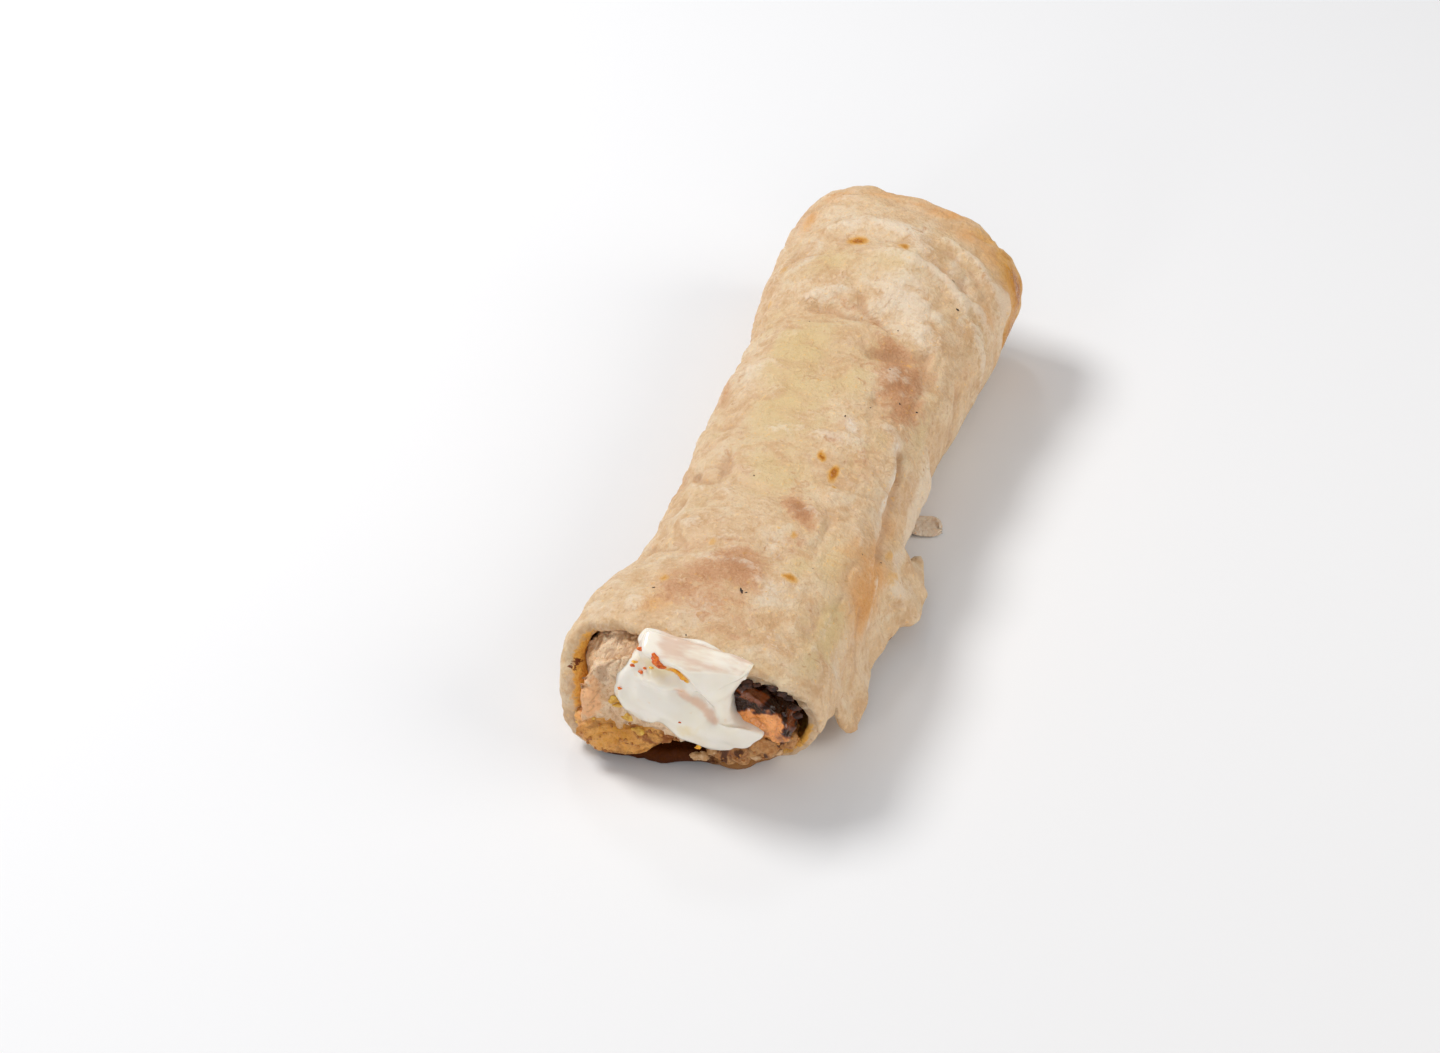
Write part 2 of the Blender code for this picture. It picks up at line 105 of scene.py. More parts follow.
# How much of the way it flares from the roll out to its free edge: (along, share)
EDGE_FLARE = (
    (0, 0), (13, 0), (15, 0.15), (17, 0.85), (19, 1), (71.6, 1), (72.4, 0.8), (73.2, 0.5), (74.2, 0),
    (182, 0),
)
EDGE_DEGREES_PER_MM = 3.0  # along its length, where it lies against the roll
# Where the flared edge ends: (along, out to the side), and (along, height above the ground)
FREE_EDGE = (
    (0, 29), (14, 30), (16.5, 31.8), (19, 32.4), (24, 32.6), (30, 31.8), (36, 30.8), (40, 30.6), (46, 31.6),
    (50, 32.2), (53, 32.6), (54.6, 35.0), (57, 36.0), (62, 35.8), (67, 34.8), (70, 33.0), (71.5, 30.6),
    (73, 29), (80, 29),
)
FREE_EDGE_HEIGHT = ((0, 6), (22, 4.0), (36, 6.5), (56, 6.5), (66, 5.0), (74, 6.0), (182, 6))
# The flap's bend: how far out and down it leaves its root, and how far in and up it comes to its free edge
FLAP_LEAVES, FLAP_ARRIVES = (2.6, -7.5), (-2.8, 5.2)
HOOK_AT, HOOK_WIDTH, HOOK_REACH = 71.4, 1.3, 7.0  # the flap's back corner, which points backwards
FREE_EDGE_THIN = 0.62  # how much of its thickness the loose edge loses
# The front lip arches a little off the ground; the arch is kept low so that the lip, painted dark as shade,
# fills the gap under the roll's front
ARCH_X, ARCH_WIDTH, ARCH_LENGTH, ARCH_HEIGHT = -0.8, 6.5, 15.0, 1.2
# Where the filling swells the bread: along, angle, length, spread in degrees, height
SWELLS = (
    (148, 82, 8, 17, 1.9), (131, 74, 7, 16, -1.3), (120, 66, 9, 15, -1.6), (163, 100, 8, 26, 1.0),
    (129, 104, 4, 24, -1.2), (140, 125, 9, 20, 1.0), (105, 115, 16, 30, 0.8), (92, 70, 9, 18, 0.9),
    (78, 44, 9, 12, 1.3), (60, 92, 11, 22, -0.8), (45, 118, 10, 20, 0.9), (34, 132, 5, 18, -1.5),
    (25, 92, 9, 26, 0.9), (17, 142, 9, 18, 1.2), (20, 27, 8, 16, -1.0), (14, 52, 8, 14, 0.8),
    (46, 40, 9, 14, 0.9), (112, 30, 12, 14, 0.9), (160, 30, 10, 16, 1.1), (66, 142, 5, 14, -1.1),
    (96, 150, 12, 16, 0.8), (150, 158, 14, 16, 0.8), (120, 200, 20, 22, 0.8), (44, 190, 9, 26, -1.2),
    (2, 218, 13, 20, 2.4),
)
UNEVEN, UNEVEN_LENGTH = 0.35, 60.0  # height and length of its broad unevenness

# The tongue of thin bread that slips out from under the roll
TONGUE_FROM, TONGUE_TO, TONGUE_Y, TONGUE_HALF = 20.0, 31.0, 96.0, 3.9

# How the masala-crusted chicken bulges over the lip: (x, z) along its underside, its top and a fold in it
MASALA_UNDERSIDE = (
    (-28, 6.0), (-25, 4.6), (-19, 3.4), (-14, 3.8), (-10.2, 4.8), (-6.8, 6.8), (-4.4, 8.8), (-1.5, 10.8),
    (5, 11.4),
)
MASALA_TOP = ((-28, 13.6), (-24, 13.2), (-12, 14.2), (-4, 13.8), (0, 13.0), (5, 12.4))
MASALA_FOLD = ((-13.5, 14.5), (-11.0, 11.5), (-7.0, 9.8), (-3.0, 11.0))
# Where the char ends, as seen from the front: (across, up)
CHAR_EDGE = ((8, 19.5), (12, 21.8), (16, 21.6), (20, 23.0), (23, 20.0))

# Torn bits at the front: (x, y, z, size)
BREAD_BITS = (
    (1.4, -2.2, 5.6, 1.8), (2.9, -2.4, 6.2, 2.8), (5.0, -1.4, 7.4, 2.2), (12.4, 0.6, 8.2, 2.4),
    (14.6, 0.4, 8.0, 2.8), (17.2, 1.0, 8.4, 2.6), (19.6, 1.6, 9.0, 2.0), (10.4, 0.2, 8.0, 1.6),
)
BURNT_BITS = (
    (10.3, 0.0, 25.4, 1.4), (11.4, 0.4, 27.4, 1.7), (12.6, 0.8, 28.4, 2.1), (14.6, 1.2, 28.4, 1.4),
    (18.6, 0.8, 28.8, 1.6), (20.6, 1.0, 27.8, 2.0), (22.0, 1.6, 26.0, 1.7), (23.2, 2.0, 23.4, 2.0),
    (23.8, 2.4, 20.6, 1.6),
)
SPICE_BITS = (
    (-17.4, -4.3, 19.4, 2.3), (-16.2, -4.6, 18.2, 1.5), (-14.0, -4.4, 15.0, 1.9), (-21.6, -4.0, 11.6, 2.0),
    (-24.4, -3.0, 16.0, 1.6), (-11.0, -5.4, 12.6, 2.2), (-26.0, -3.4, 9.0, 1.8),
)

# How finely the bread is drawn: rows along the roll, columns round it, and points round its rims
ROW_BANDS = ((0, 14, 24), (14, 66, 54), (66, 76, 24), (76, 96, 26), (96, 168, 70), (168, 182, 22))
ANGLE_BANDS = ((27, 190, 92), (190, 330, 56), (330, 387, 24), (387, 460, 24))
EDGE_COLUMNS = 22
RIM_POINTS = 9
LAYERS_TOUCH = 0.7  # how much thicker the inner layer is drawn, so that it meets the outer one
RIM_REACH = 1.3  # how far the rounded rims stand out past the sheet's last row
WALL_ROWS, WALL_BEARINGS = 60, 120  # how finely the hollow's wall is measured
MM_PER_DEGREE = 0.46  # along the bread's surface, round the roll

# Folds in the bread: points as (along, angle), then width and height in mm
FOLDS = (
    (((131, 116.5), (134.5, 111.5), (136, 102.5), (137.5, 92.5)), 1.3, 0.5),
    (((128.5, 117), (131.5, 110), (132.6, 102), (134.5, 94)), 1.0, 0.4),
    (((136.5, 92), (132, 89), (128.5, 81), (127, 75)), 1.3, -1.1),
    (((130, 116), (129.5, 108), (130, 101), (128.5, 90)), 1.2, -0.8),
    (((139, 96), (134.5, 99), (132.5, 95)), 1.1, -0.7),
    (((149, 78), (149.5, 68), (147, 50), (146.5, 27)), 1.7, 0.7),
    (((152, 74), (152, 62), (150, 46)), 1.3, -0.55),
    (((148.5, 62), (144.5, 43), (141, 33)), 1.4, 0.6),
    (((163, 70), (161, 54), (157, 38), (156, 21)), 2.0, 0.7),
    (((159, 66), (157, 50), (153, 34)), 1.5, -0.6),
    (((159.5, 117), (162, 101), (162, 90), (158.5, 82)), 2.6, 0.7),
    (((155, 110), (157, 99), (156.5, 88)), 1.8, -0.5),
    (((117, 78), (119.5, 63), (122.5, 50)), 2.0, -1.0),
    (((112, 66), (110, 56), (104, 48)), 2.2, 0.15),
    (((122, 50), (118, 46), (112, 43)), 1.6, -0.6),
    (((127, 60), (125, 52), (127, 45), (131, 50), (130, 58), (127, 60)), 0.9, 0.5),
    (((90.5, 44), (84, 40), (79.5, 37), (73.5, 36)), 1.8, 0.6),
    (((88, 38), (80, 31), (72, 27), (64, 24), (56, 20)), 1.9, -1.1),
    (((88.5, 61), (92, 52), (95, 44)), 2.2, 0.4),
    (((80, 96), (82, 84), (81, 74)), 2.0, 0.45),
    (((84, 72), (82, 64), (78, 58)), 2.0, 0.35),
    (((93, 8), (86, 3), (79, 3)), 4.0, 2.0),
    (((71, 122), (64, 113), (61, 104), (58, 96)), 1.8, -0.5),
    (((66, 142), (62, 132), (60, 122)), 1.5, -0.9),
    (((63, 140), (58, 130), (56, 120), (55, 108)), 1.8, 0.6),
    (((48, 148), (44, 138), (42, 128), (41, 116)), 1.6, 0.6),
    (((36, 140), (34, 128), (33, 118)), 1.5, -0.7),
    (((28, 97), (30, 90), (29, 82), (25, 78)), 1.2, 0.45),
    (((21, 96), (23, 88), (22, 80)), 1.1, -0.45),
    (((18, 108), (20, 98), (18.5, 90)), 1.0, 0.35),
    (((52, 78), (55, 72), (52, 66), (46, 64)), 1.4, 0.5),
    (((49, 82), (51, 74), (49, 66)), 1.0, -0.4),
    (((7, 92), (8, 84), (7, 76)), 0.9, -0.4),
    (((9.5, 96), (11, 88), (10, 80), (8, 73)), 1.0, 0.35),
    (((5.5, 82), (6.5, 74), (5.5, 67)), 0.8, 0.3),
    (((40, 26), (30, 24), (20, 22)), 2.2, -0.4),
    (((12, 44), (20, 40), (28, 40)), 1.6, 0.6),
    (((50, 12), (44, 0), (40, -12)), 1.6, 0.9),
    (((38, 14), (32, 2), (28, -12)), 1.6, -0.9),
    (((62, 10), (58, -2), (56, -14)), 1.8, 0.9),
    (((104, 130), (107, 118), (106, 106)), 2.6, 0.5),
    (((132, 150), (128, 160), (124, 172)), 1.8, -0.8),
    (((110, 160), (104, 170), (100, 184)), 2.0, -0.8),
    (((86, 156), (82, 168), (82, 182)), 1.8, 0.8),
    (((30, 156), (36, 170), (38, 186)), 2.0, -0.8),
    (((150, 176), (146, 190), (146, 206)), 2.2, 0.8),
    (((70, 176), (66, 190), (68, 206)), 2.0, -0.8),
    (((122, 20), (116, 8), (114, -6)), 2.0, -0.8),
    (((140, 26), (137, 12), (132, -4)), 2.0, 0.7),
    (((158, 24), (152, 10), (150, -8)), 2.2, 0.8),
    (((138, 78), (137, 70), (135, 60)), 5.0, 1.0),
)
FOLD_HEIGHT = 1.25  # all the folds' heights are multiplied by this
LUMPS = ((9.0, 0.36), (4.2, 0.20), (2.0, 0.10))  # size across and height of the sheet's unevenness, in mm
CREASES = ((8.0, 0.40), (3.6, 0.26), (1.8, 0.12))  # the same for its wrinkles
STEAM_LINES = 0.16  # height of the fine lines that the rolling pin and the steam leave, in mm

# Marks on the bread, each with its spots: along, angle, half length, half breadth, strength, and for some a
# turn in degrees
BREAD_MARKS = {}
BREAD_MARKS["toast"] = (
    (28, 87, 7.5, 4.6, 1.2, 20), (24, 94, 6.5, 4.4, 0.95, -10), (17.5, 100, 6, 5, 0.85, 20),
    (17, 80, 4, 2, 0.5), (16, 90, 8, 7, 0.6), (12, 88, 5, 2.5, 0.5, 10), (9, 80, 3, 6, 0.5),
    (53.5, 77, 5.5, 3.2, 1.4, 40), (50, 70, 3.5, 2, 0.7, 20), (44, 72, 4, 2, 0.5),
    (120, 70, 5, 4.4, 1.15, 20), (118.5, 62, 5, 4.4, 1.1), (113, 60, 6, 6, 1.3), (110, 55, 9, 6, 1.4, -10),
    (102, 47, 8, 5, 1.1), (81, 76, 3.4, 1.6, 0.7, 30), (86, 74, 3, 2, 0.5), (128, 82, 3, 1.6, 0.5, 30),
    (133, 94, 4, 1.6, 0.5, 60), (136, 102, 4, 1.4, 0.45), (150, 62, 5, 2, 0.4), (96, 60, 7, 3, 0.35),
    (70, 118, 7, 4, 0.3), (78, 58, 5, 2.4, 0.45), (40, 104, 5, 3, 0.35), (33, 110, 4, 4, 0.45),
    (100, 150, 9, 5, 0.6), (64, 165, 8, 5, 0.6), (28, 160, 8, 4, 0.5), (136, 172, 9, 5, 0.6),
    (168, 150, 7, 4, 0.5), (40, 205, 10, 6, 0.6), (90, 215, 12, 6, 0.7), (150, 220, 10, 6, 0.6),
    (20, 250, 12, 6, 0.6), (60, 270, 12, 8, 0.7), (110, 285, 12, 8, 0.7), (150, 270, 10, 7, 0.6),
    (98, 0, 8, 4, 0.5), (140, -10, 9, 4, 0.5), (24, 8, 8, 4, 0.4), (8, 300, 8, 6, 0.5),
)
# Orange with fat
BREAD_MARKS["fried"] = (
    (11.5, 106, 6, 4.4, 0.6), (21, 109, 5, 3, 0.5), (8, 122, 4, 5, 0.4), (42, 13, 11, 12, 1.2),
    (50, 19, 10, 11, 1.0), (62, 24, 8, 3, 0.5), (68, 20, 8, 4, 0.6), (36, 22, 8, 4, 0.5),
    (80, 14, 8, 5, 0.45), (163, 16, 8, 9, 1.3), (167, 38, 7, 9, 0.85), (170, 57, 6, 8, 0.7),
    (175, 74, 4, 8, 0.75), (177, 100, 4, 9, 0.6), (175, 125, 5, 7, 0.6), (168, 138, 8, 4, 0.6),
    (158, 0, 12, 8, 0.9), (140, 146, 5, 3, 0.5), (126, 20, 12, 5, 0.45), (148, 30, 6, 5, 0.55),
    (60, 128, 8, 4, 0.35), (34, 140, 8, 5, 0.4), (172, 190, 8, 14, 0.7), (172, 240, 8, 14, 0.6),
)
BREAD_MARKS["oil"] = (
    (29.5, 67, 1.0, 1.7, 1.3), (19.5, 108.5, 1.1, 0.8, 1.1), (44.5, 74.5, 1.0, 0.6, 0.9),
    (70.5, 69, 2.2, 0.9, 2.1), (74.5, 77.5, 1.5, 0.7, 1.9, 20), (66, 66, 0.8, 0.6, 0.8),
    (165, 12, 5, 6, 0.85), (154.5, 101, 1.5, 1.7, 1.9), (155, 98.5, 1.2, 0.8, 1.2),
    (153.5, 84, 1.0, 0.8, 1.2), (167, 18, 5, 8, 1.5), (162, 2, 8, 7, 1.2), (171, 34, 4, 7, 0.6),
    (173, 52, 3, 6, 0.4), (35, 101, 1.4, 0.8, 0.7), (57, 0, 3, 3, 0.5), (61, 12, 2, 1.4, 0.6),
    (134, 143, 2.5, 1.5, 0.5), (146, 140, 2.5, 1.6, 0.4), (178, 180, 8, 6, 0.7), (177, 220, 8, 8, 0.6),
    (60, 180, 3, 2, 0.7), (120, 188, 3, 2, 0.7),
)
# Thin places where the filling and the fat show through
BREAD_MARKS["yellow"] = (
    (66, 92, 16, 8, 0.6), (92, 100, 20, 10, 0.8), (112, 106, 14, 9, 1.0), (104, 84, 12, 7, 0.7),
    (23.5, 35, 9, 6, 1.3), (20, 46, 8, 4, 0.6), (12, 40, 8, 4, 0.6), (145, 110, 9, 6, 0.7),
    (148, 84, 7, 5, 0.5), (100, 30, 14, 5, 0.5), (52, 120, 10, 6, 0.4), (119, 76, 6, 3, 0.9),
    (126, 134, 8, 5, 0.5), (80, 140, 12, 6, 0.4), (40, 50, 9, 5, 0.6), (78, 60, 9, 5, 0.5),
    (3, 150, 5, 12, 0.35), (2, 60, 4, 8, 0.3), (35, 66, 5, 4, 0.6), (88, 52, 7, 4, 0.5),
)
# Where the dough stayed pale, and painted highlights along the ridges and folds
BREAD_MARKS["whitish"] = (
    (137, 74, 10, 8, 0.6), (128, 58, 7, 6, 0.5), (141, 84, 5, 4, 0.5), (148, 50, 8, 4, 0.45),
    (161, 98, 5, 10, 0.35), (160, 80, 5, 5, 0.6), (134, 108, 4, 4, 0.6), (137, 98, 2.5, 4, 0.6),
    (150, 124, 9, 4, 0.55), (127, 50, 4, 4, 0.6), (138, 40, 8, 3, 0.5), (155, 60, 6, 3, 0.5),
    (88, 42, 4, 2.4, 0.9), (80, 36, 6, 1.8, 1.0), (71, 33, 6, 1.6, 1.0), (62, 30, 6, 2.6, 0.6),
    (52, 27, 6, 3.0, 0.4), (44, 30, 8, 3.6, 0.4), (88, 70, 4, 2.5, 0.8, 30), (84, 62, 3, 2, 0.5),
    (42, 88, 9, 6, 0.4), (36, 104, 7, 5, 0.35), (58, 116, 7, 4, 0.4), (14, 92, 6, 4, 0.45),
    (24, 72, 6, 4, 0.6), (8, 130, 5, 7, 0.5), (10, 60, 6, 6, 0.5), (36, 78, 5, 4, 0.5), (20, 20, 10, 4, 0.6),
    (34, 8, 8, 3, 0.6), (64, 6, 6, 3, 0.6), (104, 66, 5, 4, 0.4), (46, 132, 8, 5, 0.4),
    (98, 128, 9, 4, 0.35), (80, 190, 14, 8, 0.5), (130, 200, 14, 8, 0.5), (30, 180, 12, 6, 0.5),
    (120, 300, 20, 10, 0.4),
)
# Burnt specks on the bread: along, angle, size in mm
SPECKS = (
    (21.0, 82.0, 1.3), (20.8, 79.6, 0.6), (142.5, 47.5, 0.9), (16, 110, 0.5), (128, 71, 0.5), (113, 66, 0.5),
    (97, 66, 0.6), (103, 52, 0.5), (124, 108, 0.5), (104, 40, 0.8), (90, 76, 0.5), (150, 56, 0.7),
    (56, 15, 0.5), (50, 35, 0.6), (146, 62, 0.5), (4, 90, 0.5), (36, 60, 0.4), (63, 100, 0.4),
    (88, 160, 0.6), (40, 172, 0.7), (120, 180, 0.7), (154, 190, 0.6), (70, 196, 0.7), (24, 184, 0.6),
)

# The sauce's front outline as (x, y, z)
SAUCE_OUTLINE = (
    (-10.6, 0.4, 37.9), (-6.6, 0.3, 37.7), (-2.0, 0.2, 37.5), (2.8, 0.1, 37.1), (7.4, 0.0, 36.4),
    (11.4, 0.1, 35.6), (13.8, 0.3, 35.1), (13.8, -0.6, 33.9), (12.6, -1.4, 31.8), (11.0, -2.0, 29.0),
    (9.9, -2.2, 25.8), (9.5, -2.4, 22.2), (10.4, -2.5, 19.6), (12.6, -2.6, 18.2), (15.6, -2.6, 17.8),
    (17.4, -2.5, 17.0), (16.4, -2.6, 14.8), (14.6, -2.8, 12.8), (12.6, -3.0, 11.6), (10.0, -3.0, 10.8),
    (5.4, -3.1, 9.6), (2.2, -3.2, 10.6), (-1.6, -3.3, 11.2), (-3.9, -3.3, 13.4), (-6.6, -3.3, 15.0),
    (-9.9, -3.3, 13.8), (-12.1, -3.3, 14.2), (-14.2, -3.3, 15.4), (-15.9, -3.2, 17.1), (-17.5, -3.2, 20.2),
    (-17.9, -3.0, 22.8), (-17.0, -2.8, 25.6), (-15.0, -2.4, 29.8), (-13.0, -1.6, 32.8), (-11.6, -0.4, 36.0),
)
SAUCE_MIDDLE = (-1.5, 24.0)  # (x, z)
# How far forward its face lies: (x, y)
SAUCE_FRONT = ((-20, -4.6), (-12, -5.4), (-3, -6.2), (5, -5.4), (12, -3.9), (20, -3.3))
SAUCE_SKIN = 0.32  # how finely it is drawn again
SAUCE_RINGS, SAUCE_COLUMNS = 46, 220  # from its middle out, and round it
# The sauce lies over the lip and a little way back along the bread: angle, and where it ends
SAUCE_LAP = (
    (64, 1.6), (66.5, 2.9), (74.5, 2.4), (84, 3.6), (90, 3.7), (96.5, 3.3), (103, 3.5), (106, 2.6),
    (107.5, 1.2),
)
SAUCE_LAP_THICKNESS = 0.75
# Ridges and hollows in its face: points as (x, z), then width and height in mm
SAUCE_FORMS = (
    (((-11.4, 36.8), (-8.0, 36.6), (-4.5, 36.2), (-1.2, 35.6), (5, 35.4), (12.5, 34.4)), 1.5, 1.2),
    (((-11.6, 36.6), (-12.4, 33.0), (-14.4, 30.4), (-16.6, 26.0), (-16.9, 22.6), (-14.8, 18.4)), 1.8, 1.8),
    (((-9.0, 33.4), (-6.4, 31.6), (-2.6, 30.4)), 2.6, -1.8),
    (((-2.2, 33.0), (-0.4, 31.6), (1.4, 29.4), (2.6, 27.0)), 2.2, -1.2),
    (((-9.4, 29.2), (-6.0, 28.9), (-2.6, 28.4), (0.4, 26.6)), 1.4, 1.2),
    (((1.2, 33.0), (4.0, 30.4), (7.2, 26.8), (8.2, 22.0), (9.6, 18.4)), 2.2, 1.1),
    (((-1.6, 26.8), (3.0, 25.6), (5.4, 23.4), (5.9, 20.6)), 1.5, -1.8),
    (((-10, 22), (-5, 21), (0, 19.6)), 3.4, 0.94),
    (((-9, 16.6), (-4, 15.8), (0.6, 13.2), (6, 11.6)), 1.8, 0.81),
    (((12.5, 33.4), (11.0, 30.6), (9.6, 27.6)), 1.3, 0.81),
    (((3.4, 16.8), (8.0, 15.0), (12.4, 15.2)), 2.2, 0.68),
)
# The thin film of sauce behind the ridge: place behind the lip, how much lower its top is, how wide it is
SAUCE_BACK = (
    (0.9, 0.2, 1.0), (2.0, 1.0, 0.98), (3.2, 2.0, 0.95), (4.6, 3.4, 0.91), (6.0, 5.0, 0.84), (8.0, 7.0, 0.7),
)
# Chilli on the sauce: (x, y, z, size)
CHILLI_BITS = (
    (-7.2, -4.9, 36.3, 1.1), (-6.7, -5.2, 35.6, 1.7), (-6.2, -5.4, 34.8, 1.8), (-5.7, -5.3, 34.1, 1.9),
    (-5.0, -5.1, 33.6, 1.2), (-10.8, -3.5, 35.9, 1.2), (-10.3, -4.9, 30.2, 1.1), (-12.7, -3.9, 30.8, 0.9),
    (-15.5, -4.8, 23.8, 0.8), (-9.6, -4.6, 31.4, 0.6), (-0.6, -7.0, 19.8, 0.6),
)
OILY_BITS = (
    (-4.6, -4.9, 34.3, 1.2), (-3.6, -4.3, 33.6, 1.1), (-2.8, -4.1, 32.8, 1.5), (-1.9, -4.1, 32.2, 1.7),
    (-1.2, -4.1, 31.5, 1.5), (-0.4, -4.1, 30.8, 1.6), (0.2, -4.2, 30.0, 1.1), (-3.9, -5.0, 35.0, 0.8),
    (-12.2, -3.9, 32.0, 1.0), (-7.6, -5.6, 33.0, 0.7), (3.6, -6.9, 13.2, 1.0),
)
# The oil that has run from it, and the line where the sauce is thin, as seen from the front: (across, up)
CHILLI_STREAK = ((-7.0, 35.6), (-6.2, 34.6), (-5.1, 33.6), (-2.8, 33.2), (-1.2, 32.2), (0.3, 31.0))
SAUCE_THIN = ((-1.0, 26.8), (0.7, 25.8), (3.5, 24.8), (5.4, 22.9), (6.6, 20.6))
# The film behind the lip is let down from this height on, over this fade
SAUCE_TOP_FROM, SAUCE_TOP_FADE = 20.0, 16.0
# The strip of sauce inside: middle x and z, half width and height, and where its even part starts and ends
SAUCE_STRIP = (2.6, 22.2, 8.5, 11.8, 8.0, 168.5)
SAUCE_STRIP_RINGS, SAUCE_STRIP_COLUMNS = 90, 72
SAUCE_FIRST_TURN = math.radians(125)  # where the first point of its rings lies
STRIP_POWER = 2.7  # its section, squarer than the roll's
FLAP_SIDE = 31.0  # rims further to the side than this belong to the flap
FRONT_END = 12.0  # how far back the front end's soft spots and burnt corner reach
STRIP_DOME = 4.5  # how long the rounded ends of the solids' strips are
STRIP_SKIN = 0.8  # how finely the strips are drawn again
FAR_END_SHOWS = 14.0  # how much of the strips' far ends is drawn finer
EVERYWHERE = -20.0  # a place in front of all of the roll
INNER_OIL = 0.35  # how oily the bread's inner face is
CRUMBS_FADE = 6.0  # how far back from the front the crumbs thin out
PER_SQUARE_METRE = 1e4  # square centimetres
VIEW_SLANT = (0.33, 0.86)  # how far a millimetre further back looks shifted across and up, in the photograph

# The stage: half the floor's side in mm, what the lights are turned to in metres, and the camera
FLOOR = 4000
LIT = Vector((0, 0, 0.02))
SENSOR_WIDTH, FOCAL_PIXELS, PHOTO_WIDTH = 36.0, 3857, 1440
CAMERA_STANDS = np.array([206.11, -596.33, 611.15])
CAMERA_LOOKS = Vector((-0.24125, 0.72070, -0.64991))


# ------------------------------------------------------------------ numbers


def smooth(knots, at):
    """A smooth curve through (place, value) knots, read at one or many places."""
    place, value = np.array(knots, float).T
    at = np.clip(np.asarray(at, float), place[0], place[-1])
    slope = np.gradient(value, place)
    i = np.clip(np.searchsorted(place, at) - 1, 0, len(place) - 2)
    width = place[i + 1] - place[i]
    t = (at - place[i]) / width
    return (
        value[i] * (1 + 2 * t) * (1 - t) ** 2
        + value[i + 1] * t**2 * (3 - 2 * t)
        + width * (slope[i] * t * (1 - t) ** 2 - slope[i + 1] * t**2 * (1 - t))
    )


def signed_power(value, power):
    """A power that keeps the value's sign."""
    return np.sign(value) * np.abs(value) ** power


def fade(distance, length):
    """1 at distance 0, falling smoothly to 0 at length."""
    return np.clip(1 - distance / length, 0, 1) ** 2


def ease(value, low, high):
    """0 below low, 1 above high, smooth between."""
    t = np.clip((value - low) / (high - low), 0, 1)
    return t * t * (3 - 2 * t)


def bell(*offsets):
    """1 where every offset is 0, falling away smoothly on both sides."""
    return np.exp(-sum(offset**2 for offset in offsets))


def waves(u, v, seed, count=5):
    """Smooth unevenness between about -1 and 1 over two coordinates that each turn once in a unit."""
    draw = np.random.default_rng(seed)
    total = 0.0
    for _ in range(count):
        across, along = draw.integers(1, 4), draw.uniform(0.6, 2.4)
        total = total + np.sin(2 * math.pi * (across * u + along * v) + draw.uniform(0, 6.28))
    return total / math.sqrt(2 * count)


def lumps(points, size, seed):
    """Smooth noise between about -1 and 1 at points (n, 3), with lumps of the given size."""
    cell = np.floor(points / size)
    t = points / size - cell
    t = t * t * (3 - 2 * t)
    total = np.zeros(len(points))
    for corner in itertools.product((0, 1), repeat=3):
        x, y, z = (cell + corner).astype(np.int64).T
        mixed = (x * 73856093) ^ (y * 19349663) ^ (z * 83492791) ^ (seed * 2654435761)
        mixed = ((mixed ^ (mixed >> 13)) * 1274126177) & 0x7FFFFFFF
        mixed = ((mixed ^ (mixed >> 11)) * 668265263) & 0x7FFFFFFF
        weight = np.prod(np.where(corner, t, 1 - t), axis=1)
        total += weight * (mixed / 0x3FFFFFFF - 1)
    return total


def creased(noise):
    """Turns smooth lumps into swellings with sharp creases between them."""
    return 0.6 - 1.08 * np.exp(-((noise / 0.16) ** 2)) + 0.5 * (np.abs(noise) - 0.5)


def billowed(noise):
    """Turns smooth lumps into rounded swellings that meet in soft furrows."""
    return 2.4 * np.sqrt(noise**2 + 0.01) - 0.8


def near_line(u, v, line):
    """The distance of points (u, v) from a bent line."""
    nearest = np.full(np.shape(u), 1e9)
    for (u0, v0), (u1, v1) in zip(line[:-1], line[1:]):
        run_u, run_v = u1 - u0, v1 - v0
        t = np.clip(((u - u0) * run_u + (v - v0) * run_v) / (run_u**2 + run_v**2), 0, 1)
        nearest = np.minimum(nearest, np.hypot(u - u0 - t * run_u, v - v0 - t * run_v))
    return nearest


# ------------------------------------------------------------------ the sheet of bread


def swells(angle, y):
    """How far the filling pushes the bread out, in mm."""
    height = UNEVEN * waves(angle / 360, y / UNEVEN_LENGTH, seed=21)
    for along, at, length, spread, rise in SWELLS:
        turn = (angle - at + 180) % 360 - 180
        height = height + rise * bell((y - along) / length, turn / spread)
    return height


def floor_height(x, y):
    """How high the bread's underside arches off the ground."""
    return ARCH_HEIGHT * bell((x - ARCH_X) / ARCH_WIDTH, np.maximum(y, 0) / ARCH_LENGTH)


def outline(angle, y):
    """The roll's section without its swells: (x, z) at an angle round it and a place along it."""
    behind = ROLL_LENGTH - y
    pinch = 1 - FRONT_PINCH * fade(y, FRONT_PINCH_LENGTH) - BACK_PINCH * fade(behind, BACK_PINCH_LENGTH)
    half_width = smooth(HALF_WIDTH, y)
    half_height = (smooth(HEIGHT, y) + SAG) / 2
    turn = np.radians(angle)
    x = pinch * half_width * signed_power(np.cos(turn), 2 / SECTION_POWER)
    z = half_height * (1 + pinch * signed_power(np.sin(turn), 2 / SECTION_POWER)) - SAG
    lean = FRONT_LEAN * fade(y, FRONT_LEAN_LENGTH) + BACK_LEAN * fade(behind, BACK_LEAN_LENGTH)
    return x + smooth(MIDDLE_X, y), z * (1 - lean * x / half_width)


def layer_point(angle, y, inset, lift):
    """A point inset from the roll's outline, swells and all, at least lift above what the roll lies on."""
    x, z = outline(angle, y)
    x_next, z_next = outline(angle + 0.6, y)
    x_last, z_last = outline(angle - 0.6, y)
    run = np.hypot(x_next - x_last, z_next - z_last)
    outward = swells(angle, y) - inset
    x = x + outward * (z_next - z_last) / run
    z = z - outward * (x_next - x_last) / run
    return x, np.maximum(z, floor_height(x, y) + lift)


